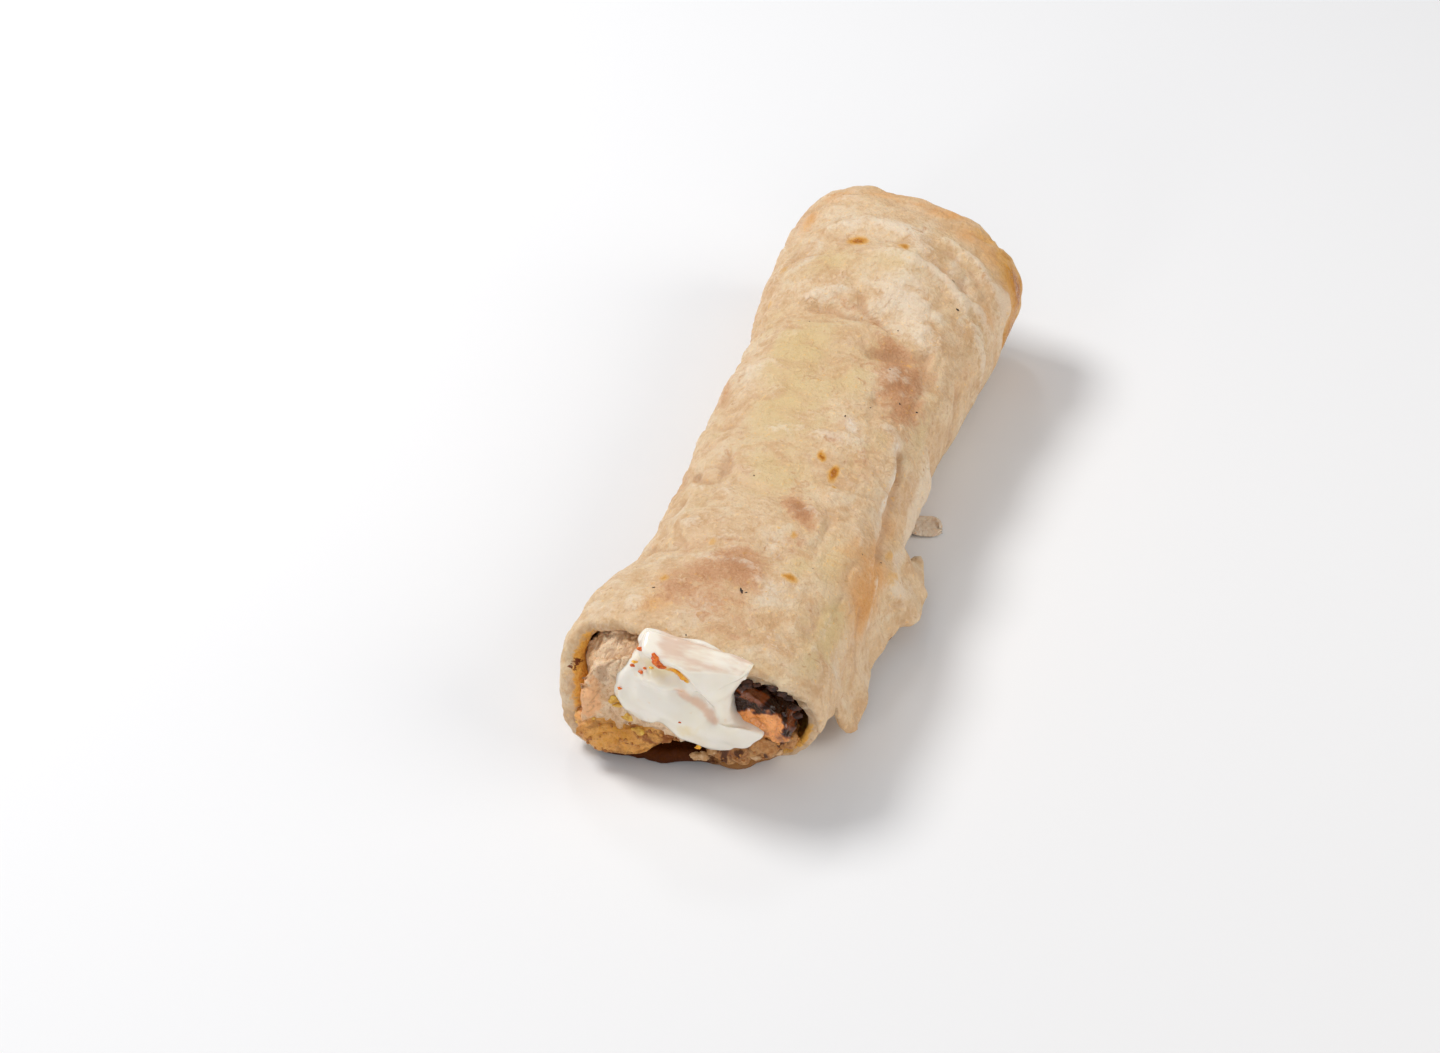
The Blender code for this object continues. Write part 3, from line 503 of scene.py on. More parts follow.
def thickness(angle, y):
    """The bread puffs up at the open ends wherever one layer of it lies alone."""
    alone = np.clip((angle - ALONE_FROM) / ALONE_FADE, 0, 1) * np.clip((ALONE_TO - angle) / ALONE_FADE, 0, 1)
    near_lip = fade(y, LIP_THICKNESS_LENGTH) + 0.5 * fade(ROLL_LENGTH - y, LIP_THICKNESS_LENGTH)
    pressed = LAYERS_TOUCH * ease(angle, 350, 375)
    puffed = LEFT_RIM * bell((angle - LEFT_RIM_ANGLE) / LEFT_RIM_SPREAD) * fade(y, LEFT_RIM_LENGTH)
    return BREAD_THICKNESS + pressed + puffed + (LIP_THICKNESS - BREAD_THICKNESS) * alone * near_lip


def sheet_point(angle, y):
    """A point in the middle of the sheet where it is wound."""
    half = thickness(angle, y) / 2
    return layer_point(angle, y, LAYER_PITCH * angle / 360 + half, half)


def edge_point(share, y):
    """The loose edge of the outer layer, from its root (share 0) to its free end (share 1)."""
    nicks = sum(height * np.sin(2 * math.pi * y / apart) for height, apart in EDGE_NICKS)
    run = share * (smooth(EDGE_LENGTH, y) + nicks)
    pressed_x, pressed_z = sheet_point(LEAVE_ANGLE - EDGE_DEGREES_PER_MM * run, y)
    root_x, root_z = sheet_point(LEAVE_ANGLE, y)
    weights = (1 - share) ** 3, 3 * share * (1 - share) ** 2, 3 * share**2 * (1 - share), share**3
    free_x = np.interp(y, *zip(*FREE_EDGE)) + 0.4 * nicks
    free_z = smooth(FREE_EDGE_HEIGHT, y) + 0.5 * nicks
    bend_x = root_x, root_x + FLAP_LEAVES[0], free_x + FLAP_ARRIVES[0], free_x
    bend_z = root_z, root_z + FLAP_LEAVES[1], free_z + FLAP_ARRIVES[1], free_z
    flared_x = sum(weight * x for weight, x in zip(weights, bend_x))
    flared_z = sum(weight * z for weight, z in zip(weights, bend_z))
    flare = np.clip(np.interp(y, *zip(*EDGE_FLARE)), 0, 1)
    return pressed_x + flare * (flared_x - pressed_x), pressed_z + flare * (flared_z - pressed_z)


def places(bands):
    """Places along bands that are each split evenly: start, end and count."""
    spread = [np.linspace(start, end, count, endpoint=False) for start, end, count in bands]
    return np.append(np.concatenate(spread), bands[-1][1])


def lip_place(base, angle):
    """Where a row of the sheet really lies: the first and last rows follow the two uneven lips."""
    turn = angle % 360
    ragged = LIP_RAGGED * (np.sin(np.radians(angle) * 7.3) + 0.7 * np.sin(np.radians(angle) * 13.1 + 1))
    inside = INNER_LIP * np.clip((angle - INNER_LIP_FROM) / INNER_LIP_FADE, 0, 1)
    front = smooth(FRONT_LIP, turn) + inside + ragged + RIM_REACH
    back = ROLL_LENGTH - smooth(BACK_LIP, turn) - inside + ragged - RIM_REACH
    reach_front, reach_back = fade(base, LIP_REACH), fade(ROLL_LENGTH - base, LIP_REACH)
    return base + front * reach_front + (back - ROLL_LENGTH) * reach_back


def bread_grid():
    """The middle surface of the sheet: points, the angle round the roll and half the thickness at each."""
    edge_share = np.linspace(1, 0, EDGE_COLUMNS, endpoint=False)
    angle = places(ANGLE_BANDS)
    base = places(ROW_BANDS)[:, None]
    edge_y = lip_place(base, np.full((1, EDGE_COLUMNS), LEAVE_ANGLE))
    body_y = lip_place(base, angle[None, :])
    edge_x, edge_z = edge_point(edge_share[None, :], edge_y)
    edge_y = edge_y + HOOK_REACH * edge_share**6 * bell((edge_y - HOOK_AT) / HOOK_WIDTH)
    body_x, body_z = sheet_point(angle[None, :], body_y)
    edge = np.stack([edge_x, edge_y, edge_z], 2)
    body = np.stack([body_x, body_y, body_z], 2)
    run = edge_share[None, :] * smooth(EDGE_LENGTH, edge_y)
    edge_angle = LEAVE_ANGLE - run / MM_PER_DEGREE
    round_angle = np.concatenate([edge_angle, np.broadcast_to(angle[None, :], body_y.shape)], 1)
    edge_half = BREAD_THICKNESS / 2 * (1 - FREE_EDGE_THIN * edge_share)
    edge_half = np.broadcast_to(edge_half, edge_y.shape)
    half = np.concatenate([edge_half, thickness(angle[None, :], body_y) / 2], 1)
    return np.concatenate([edge, body], 1), round_angle, half


def bread_relief(points, angle):
    """How far the sheet is pushed out at each point, in mm: its folds, its lumps and its finer lines."""
    y = points[..., 1]
    across = angle * MM_PER_DEGREE
    relief = np.zeros(angle.shape)
    for line, width, height in FOLDS:
        bent = [(along, at * MM_PER_DEGREE) for along, at in line]
        relief += FOLD_HEIGHT * height * bell(near_line(y, across, bent) / width)
    flat = np.stack([y, across, 0 * y], -1).reshape(-1, 3)
    for number, (size, height) in enumerate(LUMPS):
        relief += height * lumps(flat, size, seed=40 + number).reshape(angle.shape)
    bent = flat + 1.6 * np.stack([lumps(flat, 6.0, 57), lumps(flat, 6.0, 58), 0 * across.ravel()], 1)
    for number, (size, height) in enumerate(CREASES):
        relief += height * creased(lumps(bent * (1, 0.7, 1), size, seed=46 + number)).reshape(angle.shape)
    lines = lumps(flat * (0.35, 1.5, 1), 2.6, seed=52) * ease(lumps(flat, 16, seed=53), -0.2, 0.6)
    return relief + STEAM_LINES * lines.reshape(angle.shape)


def marks(spots, y, angle):
    """How strongly each point is marked by soft spots."""
    total = np.zeros(np.shape(y))
    for along, at, half_length, half_breadth, strength, *turned in spots:
        u, v = y - along, (angle - at) * MM_PER_DEGREE
        turn = math.radians(turned[0] if turned else 0)
        cos, sin = math.cos(turn), math.sin(turn)
        spot = bell((u * cos + v * sin) / half_length, (v * cos - u * sin) / half_breadth)
        total = np.maximum(total, strength * spot)
    return total


def hollow_wall():
    """How far the bread lies from the middle of the hollow: a table by place along the roll and bearing."""
    angle = np.arange(INNER_ANGLE - 360, INNER_ANGLE, 3.0)
    bearings = np.linspace(-math.pi, math.pi, WALL_BEARINGS)
    table = []
    for y in np.linspace(0, ROLL_LENGTH, WALL_ROWS):
        place = y + 0 * angle
        thick = thickness(angle, place)
        x, z = layer_point(angle, place, LAYER_PITCH * angle / 360 + thick, thick)
        out_x, out_z = x - smooth(MIDDLE_X, y), z - smooth(HEIGHT, y) / 2
        own = np.arctan2(out_z, out_x)
        order = np.argsort(own)
        table.append(np.interp(bearings, own[order], np.hypot(out_x, out_z)[order], period=2 * math.pi))
    return np.array(table)


def kept_in_hollow(points, clearance=0.2, from_y=EVERYWHERE):
    """Pulls points that would lie in the bread back inside the hollow, from some place along it onwards."""
    x, y, z = points.T
    table = hollow_wall()
    middle_x, middle_z = smooth(MIDDLE_X, y), smooth(HEIGHT, y) / 2
    out_x, out_z = x - middle_x, z - middle_z
    row = np.clip(y / ROLL_LENGTH, 0, 1) * (WALL_ROWS - 1.001)
    column = (np.arctan2(out_z, out_x) / (2 * math.pi) + 0.5) * (WALL_BEARINGS - 1.001)
    r, c = row.astype(int), column.astype(int)
    s, t = row - r, column - c
    wall = (table[r, c] * (1 - s) + table[r + 1, c] * s) * (1 - t) + (
        table[r, c + 1] * (1 - s) + table[r + 1, c + 1] * s) * t
    scale = np.minimum(1, (wall - clearance) / np.maximum(np.hypot(out_x, out_z), 1e-6))
    scale = 1 + (scale - 1) * ease(y, from_y, from_y + 4)
    return np.stack([middle_x + out_x * scale, y, middle_z + out_z * scale], 1)


# ------------------------------------------------------------------ meshes


def centred(points):
    """Points in the solids' measure from the front lip, moved so that the roll stands over the origin."""
    return points - STANDS_OVER


def in_scene(name, data):
    """A new object in the scene with this mesh, light or camera."""
    made = bpy.data.objects.new(name, data)
    bpy.context.scene.collection.objects.link(made)
    return made


@contextlib.contextmanager
def opened(made):
    """Opens an object's mesh for editing and writes back what was done to it."""
    mesh = bmesh.new()
    mesh.from_mesh(made.data)
    yield mesh
    mesh.to_mesh(made.data)
    mesh.free()


def mesh_object(name, points, faces):
    """A smooth-shaded mesh object from points in millimetres."""
    data = bpy.data.meshes.new(name)
    data.from_pydata((np.asarray(points) * MM).tolist(), [], [list(map(int, f)) for f in faces])
    data.shade_smooth()
    return in_scene(name, data)


def set_marks(made, **marked):
    """Keeps numbers at each point of a mesh, for its material or the scatter to read."""
    attributes = made.data.attributes
    for mark, values in marked.items():
        attribute = attributes.get(mark) or attributes.new(mark, "FLOAT", "POINT")
        attribute.data.foreach_set("value", np.asarray(values, np.float32).ravel())


def grid_faces(rows, columns, start=0, closed_columns=False):
    """Four-sided faces over a grid of points numbered row by row from start."""
    across = columns if closed_columns else columns - 1
    r, c = np.meshgrid(np.arange(rows - 1), np.arange(across), indexing="ij")
    d = (c + 1) % columns
    corners = np.stack([r * columns + c, r * columns + d, (r + 1) * columns + d, (r + 1) * columns + c], -1)
    return corners.reshape(-1, 4) + start


def normals_of(grid):
    """Unit normals of a grid surface, from its rows and columns."""
    normal = np.cross(np.gradient(grid, axis=0), np.gradient(grid, axis=1))
    return normal / np.maximum(np.linalg.norm(normal, axis=-1, keepdims=True), TINY)


def outward_faces(made):
    """Turns a closed mesh's faces outwards."""
    with opened(made) as mesh:
        bmesh.ops.recalc_face_normals(mesh, faces=mesh.faces)


def joined(made, other):
    """Adds another object's mesh to this one's and removes the other."""
    with opened(made) as mesh:
        mesh.from_mesh(other.data)
    made.data.shade_smooth()
    bpy.data.objects.remove(other)


def evaluated(made):
    """Applies an object's modifiers to its mesh."""
    graph = bpy.context.evaluated_depsgraph_get()
    result = bpy.data.meshes.new_from_object(made.evaluated_get(graph))
    made.modifiers.clear()
    old, made.data = made.data, result
    result.name = made.name
    bpy.data.meshes.remove(old)


def remeshed(made, size, smoothing):
    """Draws a solid again in even small faces and smooths its facets away."""
    voxels = made.modifiers.new("even faces", "REMESH")
    voxels.mode = "VOXEL"
    voxels.voxel_size = size * MM
    soften = made.modifiers.new("soften", "SMOOTH")
    soften.factor = 0.6
    soften.iterations = smoothing
    evaluated(made)
    made.data.shade_smooth()


def finer(made, depths):
    """Splits the faces near the front lip once for each depth in mm, and those near the far lip once."""
    for number, depth in enumerate(depths):
        front, back = (depth - STANDS_OVER[1]) * MM, (ROLL_LENGTH - FAR_END_SHOWS - STANDS_OVER[1]) * MM
        with opened(made) as mesh:
            near = [v.co.y < front or (number == 0 and v.co.y > back) for v in mesh.verts]
            edges = [e for e in mesh.edges if near[e.verts[0].index] and near[e.verts[1].index]]
            bmesh.ops.subdivide_edges(mesh, edges=edges, cuts=1, use_grid_fill=True, smooth=0.5)
            bmesh.ops.triangulate(mesh, faces=[f for f in mesh.faces if len(f.verts) > 4])
    made.data.shade_smooth()


def points_and_normals(made):
    """The mesh's points in millimetres, in the solids' measure from the front lip, and its normals."""
    read = np.empty((2, len(made.data.vertices) * 3), np.float32)
    made.data.vertices.foreach_get("co", read[0])
    made.data.vertices.foreach_get("normal", read[1])
    points, normals = read.astype(float).reshape(2, -1, 3)
    return points / MM + STANDS_OVER, normals


def move_points(made, points):
    """Puts a mesh's points at the given ones, in millimetres and in the solids' measure."""
    made.data.vertices.foreach_set("co", (centred(points) * MM).astype(np.float32).ravel())
    made.data.update()


def ball(fineness):
    """The points of a ball, each 1 from its middle, and its faces."""
    mesh = bmesh.new()
    bmesh.ops.create_icosphere(mesh, subdivisions=fineness, radius=1.0)
    points = np.array([v.co for v in mesh.verts])
    faces = np.array([[v.index for v in f.verts] for f in mesh.faces])
    mesh.free()
    return points, faces


def bits_object(name, shapes, faces):
    """One mesh of many bits, from the points of each and the faces that they share."""
    numbered = [faces + number * len(shapes[0]) for number in range(len(shapes))]
    return mesh_object(name, centred(np.concatenate(shapes)), np.concatenate(numbered))


# ------------------------------------------------------------------ materials


def linear(hex_colour):
    """An sRGB hex colour as linear red, green, blue and alpha."""
    parts = [int(hex_colour[i : i + 2], 16) / 255 for i in (1, 3, 5)]
    return (*[c / 12.92 if c <= 0.04045 else ((c + 0.055) / 1.055) ** 2.4 for c in parts], 1.0)


def feed(tree, node, sockets):
    """Gives each of a node's sockets, by name or number, a value or the output that feeds it."""
    for key, value in sockets.items():
        if isinstance(value, bpy.types.NodeSocket):
            tree.links.new(value, node.inputs[key])
        else:
            node.inputs[key].default_value = value


def add(tree, kind, sockets, **settings):
    """Adds a node with its settings and what its sockets are given."""
    made = tree.nodes.new(kind)
    for key, value in settings.items():
        setattr(made, key, value)
    feed(tree, made, sockets)
    return made


def new_material(name):
    """A material, its node tree, its shader and the place on the object, for patterns to follow."""
    material = bpy.data.materials.new(name)
    material.use_nodes = True
    tree = material.node_tree
    place = add(tree, "ShaderNodeTexCoord", {}).outputs["Object"]
    return material, tree, tree.nodes["Principled BSDF"], place


def noise(tree, place, size, detail, roughness=0.5, distortion=0.0):
    """A soft irregular pattern with patches of this size in millimetres."""
    sockets = {"Vector": place, "Scale": 1 / (size * MM), "Detail": detail, "Roughness": roughness,
               "Distortion": distortion}
    return add(tree, "ShaderNodeTexNoise", sockets).outputs["Fac"]


def ranged(tree, value, low, high, at_low, at_high, **settings):
    """A value that goes from at_low to at_high while the one it follows goes from low to high."""
    sockets = {"Value": value, "From Min": low, "From Max": high, "To Min": at_low, "To Max": at_high}
    return add(tree, "ShaderNodeMapRange", sockets, **settings).outputs[0]


def mark_value(tree, mark):
    """The strength of a mark, as the material reads it."""
    return add(tree, "ShaderNodeAttribute", {}, attribute_name=mark).outputs["Fac"]


def broken_mark(tree, mark, pattern, low, high, most, breakup):
    """A mark's strength with its edge broken up by a pattern, from 0 to most."""
    value = mark_value(tree, mark)
    rough = add(tree, "ShaderNodeMath", {0: pattern, 1: -0.5}, operation="ADD").outputs[0]
    mixed = add(tree, "ShaderNodeMath", {0: rough, 1: breakup, 2: value}, operation="MULTIPLY_ADD").outputs[0]
    return ranged(tree, mixed, low, high, 0.0, most, interpolation_type="SMOOTHSTEP")


def painted(tree, base, patterns, plain, marked=()):
    """Lays colours over a base one after another. Plain ones show where a pattern lies between two values:
    (pattern, colour, low, high, most). Marked ones show where a mark is: (mark, pattern, colour, low, high,
    most, breakup)."""
    layers = [(colour, ranged(tree, patterns[key], *span, 0.0, most)) for key, colour, *span, most in plain]
    layers += [(colour, broken_mark(tree, mark, patterns[key], *how)) for mark, key, colour, *how in marked]
    for colour, factor in layers:
        sockets = {0: factor, 6: base, 7: linear(colour)}
        base = add(tree, "ShaderNodeMix", sockets, data_type="RGBA").outputs[2]
    return base


def embossed(tree, *reliefs):
    """Fine relief that only the light sees, each one over the last: (pattern, strength, depth in mm)."""
    below = {}
    for pattern, strength, depth in reliefs:
        sockets = {"Height": pattern, "Strength": strength, "Distance": depth * MM, **below}
        below = {"Normal": add(tree, "ShaderNodeBump", sockets).outputs[0]}
    return below["Normal"]


def flatbread_material(settings):
    """Griddled wheat flatbread: a soft, slightly oily dough skin, cream where it stayed pale, pinkish brown
    where it met the griddle, and yellow where fat has seeped through. Painted shade darkens its creases and
    its lower front lip, and painted highlights lighten its crests and ridges."""
    material, tree, shader, place = new_material("griddled wheat flatbread")
    patterns = {
        "broad": noise(tree, place, 17.0, 2, 0.6, 0.4),
        "patch": noise(tree, place, 9.0, 3, 0.6, 0.9),
        "mottle": noise(tree, place, 3.2, 4, 0.6, 1.0),
        "wisp": noise(tree, place, 2.2, 4, 0.6, 2.2),
        "grain": noise(tree, place, 1.2, 3, 0.6, 0.3),
        "pores": noise(tree, place, 0.45, 2, 0.6, 0.0),
    }
    plain = (
        ("broad", "#d3b58c", 0.46, 0.62, 0.65),
        ("patch", "#e0d0b8", 0.52, 0.68, 0.75),
        ("patch", "#c9a279", 0.50, 0.36, 0.75),
        ("mottle", "#e8d7bf", 0.53, 0.70, 0.5),
        ("mottle", "#c49a6e", 0.49, 0.32, 0.5),
        ("grain", "#eedec4", 0.54, 0.72, 0.4),
        ("grain", "#b98f63", 0.45, 0.28, 0.35),
    )
    marked = (
        ("yellow", "patch", "#d4ba88", 0.10, 1.0, 0.82, 1.6),
        # pale dough, and painted highlights on the ridges and folds
        ("whitish", "patch", "#dfcfbb", 0.2, 1.0, 0.75, 1.4),
        ("whitish", "wisp", "#e9ddcf", 0.45, 1.2, 0.65, 2.4),
        ("fried", "patch", "#d79f62", 0.15, 0.95, 0.88, 1.6),
        ("fried", "wisp", "#c5853a", 0.60, 1.5, 0.75, 1.6),
        ("toast", "mottle", "#c99a74", 0.10, 0.85, 0.9, 2.2),
        ("toast", "wisp", "#b8855e", 0.45, 1.25, 0.8, 2.4),
        ("toast", "grain", "#97663f", 0.85, 1.5, 0.4, 1.6),
        # painted shade in the relief's creases, and painted highlights on its crests
        ("furrow", "grain", "#bd9470", 0.15, 0.9, 0.6, 1.2),
        ("crest", "grain", "#e8dac6", 0.2, 0.9, 0.55, 1.4),
        ("oil", "mottle", "#d8a75e", 0.1, 0.5, 0.7, 1.0),
        ("oil", "mottle", "#c98a2c", 0.4, 0.95, 0.9, 1.2),
        ("oil", "grain", "#a05a10", 0.95, 1.5, 0.8, 1.4),
        ("crumbed", "grain", "#eeb248", 0.1, 0.7, 0.9, 1.8),
        ("crumbed", "wisp", "#cc8426", 0.5, 1.3, 0.6, 2.4),
        ("fatty", "mottle", "#8e5a22", 0.1, 0.8, 0.9, 1.6),
        # dark juice and painted shade on the lower front lip
        ("soaked", "grain", "#481b03", 0.15, 0.7, 0.98, 1.0),
        ("scorch", "grain", "#6a2a0c", 0.75, 1.05, 0.95, 2.8),
    )
    dry = ranged(tree, patterns["mottle"], 0.3, 0.7, 0.46, 0.66)
    sockets = {0: mark_value(tree, "oil"), 1: -0.22, 2: dry}
    gloss = add(tree, "ShaderNodeMath", sockets, operation="MULTIPLY_ADD", use_clamp=True)
    feed(tree, shader, {
        "Base Color": painted(tree, (*settings.bread_colour, 1.0), patterns, plain, marked),
        "Roughness": gloss.outputs[0],
        "Specular IOR Level": ranged(tree, mark_value(tree, "soaked"), 0.0, 1.0, 0.36, 0.05),
        "Normal": embossed(tree, (patterns["pores"], 0.4, 0.3), (patterns["grain"], 0.7, 0.8)),
        "Subsurface Weight": 0.12,
        "Subsurface Radius": (1.0, 0.62, 0.35),
        "Subsurface Scale": 1.6 * MM,
        "IOR": 1.45,
    })
    return material


def meat_material(name, colours, roughness, wet):
    """Cooked chicken: short moist fibres with darker gaps between them, and oil from the marinade in the
    hollows. Painted shade darkens the hollows of its crust, and some of its brown is painted shade too."""
    pale, deep, dark, oily, brown = colours
    material, tree, shader, place = new_material(name)
    sockets = {"Vector": place, "Rotation": (0.5, 0.2, 0.7), "Scale": (1, 0.45, 1)}
    drawn = add(tree, "ShaderNodeMapping", sockets)
    patterns = {
        "broad": noise(tree, place, 5.0, 3, 0.62),
        "clump": noise(tree, place, 2.2, 4, 0.62),
        "fibre": noise(tree, drawn.outputs[0], 0.9, 4, 0.62),
        "pores": noise(tree, place, 0.5, 3, 0.62),
    }
    plain = (
        ("broad", deep, 0.46, 0.62, 0.85),
        ("clump", pale, 0.52, 0.66, 0.7),
        ("fibre", deep, 0.50, 0.36, 0.6),
        ("pores", pale, 0.54, 0.70, 0.6),
        ("pores", dark, 0.44, 0.30, 0.55),
    )
    marked = (
        ("oil", "clump", oily, 0.2, 1.0, 0.85, 2.0),
        ("rosy", "clump", "#f0b47e", 0.2, 0.9, 0.85, 1.8),
        # painted shade, darker in the hollows of the crust
        ("hollow", "fibre", dark, 0.3, 1.2, 0.5, 1.2),
        # real browning, and on the masala strip painted shade as well
        ("browned", "clump", brown, 0.2, 0.9, 0.92, 1.6),
        ("scorch", "clump", "#8a4218", 0.05, 0.5, 0.85, 1.0),
        ("scorch", "clump", "#240e07", 0.35, 0.95, 0.97, 1.3),
    )
    dry = 1 - wet
    feed(tree, shader, {
        "Base Color": painted(tree, linear(pale), patterns, plain, marked),
        "Roughness": ranged(tree, patterns["clump"], 0.35, 0.65, roughness - 0.14, roughness + 0.1),
        "Specular IOR Level": ranged(tree, mark_value(tree, "scorch"), 0.0, 1.0, 0.5, 0.1),
        "Normal": embossed(tree, (patterns["pores"], 0.5 * dry, 0.35), (patterns["fibre"], 0.6 * dry, 0.6)),
        "Coat Weight": wet,
        "Coat Roughness": 0.06,
        "Subsurface Weight": 0.15,
        "Subsurface Radius": (1.0, 0.45, 0.25),
        "Subsurface Scale": 1.2 * MM,
        "IOR": 1.42,
    })
    return material


def sauce_material(settings):
    """Garlic mayonnaise sauce: a smooth, glossy emulsion that light goes a little way into, thin enough in
    places for the chicken to show through pink, with oil round the chilli."""
    material, tree, shader, place = new_material("garlic mayonnaise sauce")
    drawn = add(tree, "ShaderNodeMapping", {"Vector": place, "Scale": (0.25, 1, 1)}).outputs[0]
    patterns = {
        "broad": noise(tree, place, 7.0, 2),
        "grain": noise(tree, place, 2.0, 4),
        "smear": noise(tree, drawn, 2.6, 3),
    }
    marked = (
        ("cream", "grain", "#ecd9a8", 0.1, 0.9, 0.75, 1.0),
        ("film", "smear", "#d8baa6", 0.4, 1.3, 0.8, 3.0),
        ("thin", "grain", "#e6bea2", 0.2, 1.1, 0.75, 1.2),
        ("oil", "grain", "#e4a32c", 0.25, 0.9, 0.85, 2.0),
    )
    tint = (*settings.sauce_colour, 1.0)
    feed(tree, shader, {
        "Base Color": painted(tree, tint, patterns, [("broad", "#ece5d4", 0.42, 0.62, 0.6)], marked),
        "Normal": embossed(tree, (patterns["broad"], 0.25, 0.5)),
        "Roughness": 0.16,
        "IOR": 1.46,
        "Subsurface Weight": 0.35,
        "Subsurface Radius": (1.0, 0.85, 0.6),
        "Subsurface Scale": 2.2 * MM,
    })
    return material


def bit_material(name, colour, other, roughness):
    """A small dry or oily bit whose colour changes over a millimetre or so."""
    material, tree, shader, place = new_material(name)
    patterns = {"mottle": noise(tree, place, 1.1, 2)}
    colour = painted(tree, linear(colour), patterns, [("mottle", other, 0.4, 0.6, 1.0)])
    feed(tree, shader, {"Base Color": colour, "Roughness": roughness})
    return material


def floor_material(settings):
    """Matt painted board: a plain pale ground with the faintest unevenness."""
    material, tree, shader, place = new_material("matt painted board")
    patterns = {"broad": noise(tree, place, 250.0, 2)}
    colour = painted(tree, (*settings.floor_colour, 1.0), patterns, [("broad", "#e4e5ea", 0.0, 1.0, 0.15)])
    feed(tree, shader, {"Base Color": colour, "Roughness": 0.7})
    return material


# ------------------------------------------------------------------ pieces


def finish_piece(made, material, node=None):
    """Gives a finished mesh its material and hands it to the frame."""
    made.data.materials.clear()
    made.data.materials.append(material)
    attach(made, "root")
    if node:
        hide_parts(node)


def grid_rim(rows, columns):
    """The boundary of a grid of points, walked once round: the row and the column of each point."""
    walk = [(0, c) for c in range(columns)] + [(r, columns - 1) for r in range(1, rows)]
    walk += [(rows - 1, c) for c in range(columns - 2, -1, -1)] + [(r, 0) for r in range(rows - 2, 0, -1)]
    return tuple(np.array(walk).T)


def rim_rings(outer, inner, normal, half, middle, rim):
    """Rings of points that join the sheet's two faces in a rounded rim, and how near each is to the inner
    face."""
    inward = middle[tuple(np.clip(at, 1, size - 2) for at, size in zip(rim, half.shape))]
    away = middle[rim] - inward
    away -= normal[rim] * np.sum(away * normal[rim], -1, keepdims=True)
    away /= np.maximum(np.linalg.norm(away, axis=-1, keepdims=True), TINY)
    bulge = half[rim] * (0.85 + 0.5 * lumps(middle[rim], 1.6, seed=61))
    turn = (math.pi * np.arange(1, RIM_POINTS + 1) / (RIM_POINTS + 1))[:, None, None]
    share = (1 + np.cos(turn)) / 2
    rings = outer[rim] * share + inner[rim] * (1 - share) + away * np.sin(turn) * bulge[:, None]
    rings[..., 2] = np.maximum(rings[..., 2], 0.0)
    return rings, np.broadcast_to(1 - share[..., 0], rings.shape[:2])


def rim_faces(rows, columns, rim):
    """Faces from the outer grid through the rings of the rim to the inner grid."""
    outer_index = rim[0] * columns + rim[1]
    ring_index = np.arange(RIM_POINTS * len(outer_index)).reshape(RIM_POINTS, -1) + 2 * rows * columns
    levels = np.stack([outer_index, *ring_index, outer_index + rows * columns])
    following = np.roll(levels, -1, axis=1)
    return np.stack([levels[:-1], levels[1:], following[1:], following[:-1]], -1).reshape(-1, 4)


def bread_marks(y, angle, relief, inner, rings, inner_share, rim):
    """Each mark's strength on the bread's outer face, on its inner face and round its rims."""
    round_rims = np.tile(rim[0], RIM_POINTS), np.tile(rim[1], RIM_POINTS)
    rim_angle = angle[round_rims] % 360
    # the rims are greasy at the left and the right, and a little so underneath
    greasy = bell(((rim_angle - 170) / 32) ** 2) + 0.9 * bell((rim_angle - 335) / 30)
    greasy += 0.5 * bell((rim_angle - 262) / 40)
    rim_x, rim_y, rim_z = rings.reshape(-1, 3).T
    # a burnt corner at the left of the front lip, and a burnt nub behind the flap's foot
    burnt_corner = 1.3 * bell((rim_x + 28.8) / 1.7, (rim_z - 21.8) / 1.5)
    burnt_nub = 1.6 * bell((rim_y - 48.5) / 0.9) * (rim_x > FLAP_SIDE)
    nowhere = np.zeros(angle.size)
    on_crumb = 0.75 + 0.35 * lumps(inner.reshape(-1, 3), 4.0, seed=63)
    marked = {
        "crumbed": (nowhere, on_crumb, 0.9 * ease(inner_share.ravel(), 0.28, 0.6) * greasy),
        "scorch": (nowhere, nowhere, np.where(rim_y < FRONT_END, burnt_corner, burnt_nub)),
    }
    for mark, spots in BREAD_MARKS.items():
        on_outer = marks(spots, y, angle)
        marked[mark] = on_outer, nowhere + INNER_OIL * (mark == "oil"), 0.9 * on_outer[round_rims]
    # painted shade in the relief's creases, painted highlights on its crests
    for mark, height in (("furrow", -relief / 0.9), ("crest", relief / 1.1 - 0.25)):
        on_outer = np.clip(height, 0, 1)
        marked[mark] = on_outer, nowhere, on_outer[round_rims]
    # the lower front lip is dark brown with juice and painted shade, and fatty at its right
    for mark, at, spread in (("soaked", 256, 25), ("fatty", 298, 24)):
        through = bell(((angle % 360 - at) / spread) ** 2) * (1 - ease(y, 5, 10))
        marked[mark] = through, through, through[round_rims]
    return {mark: np.concatenate([part.ravel() for part in parts]) for mark, parts in marked.items()}


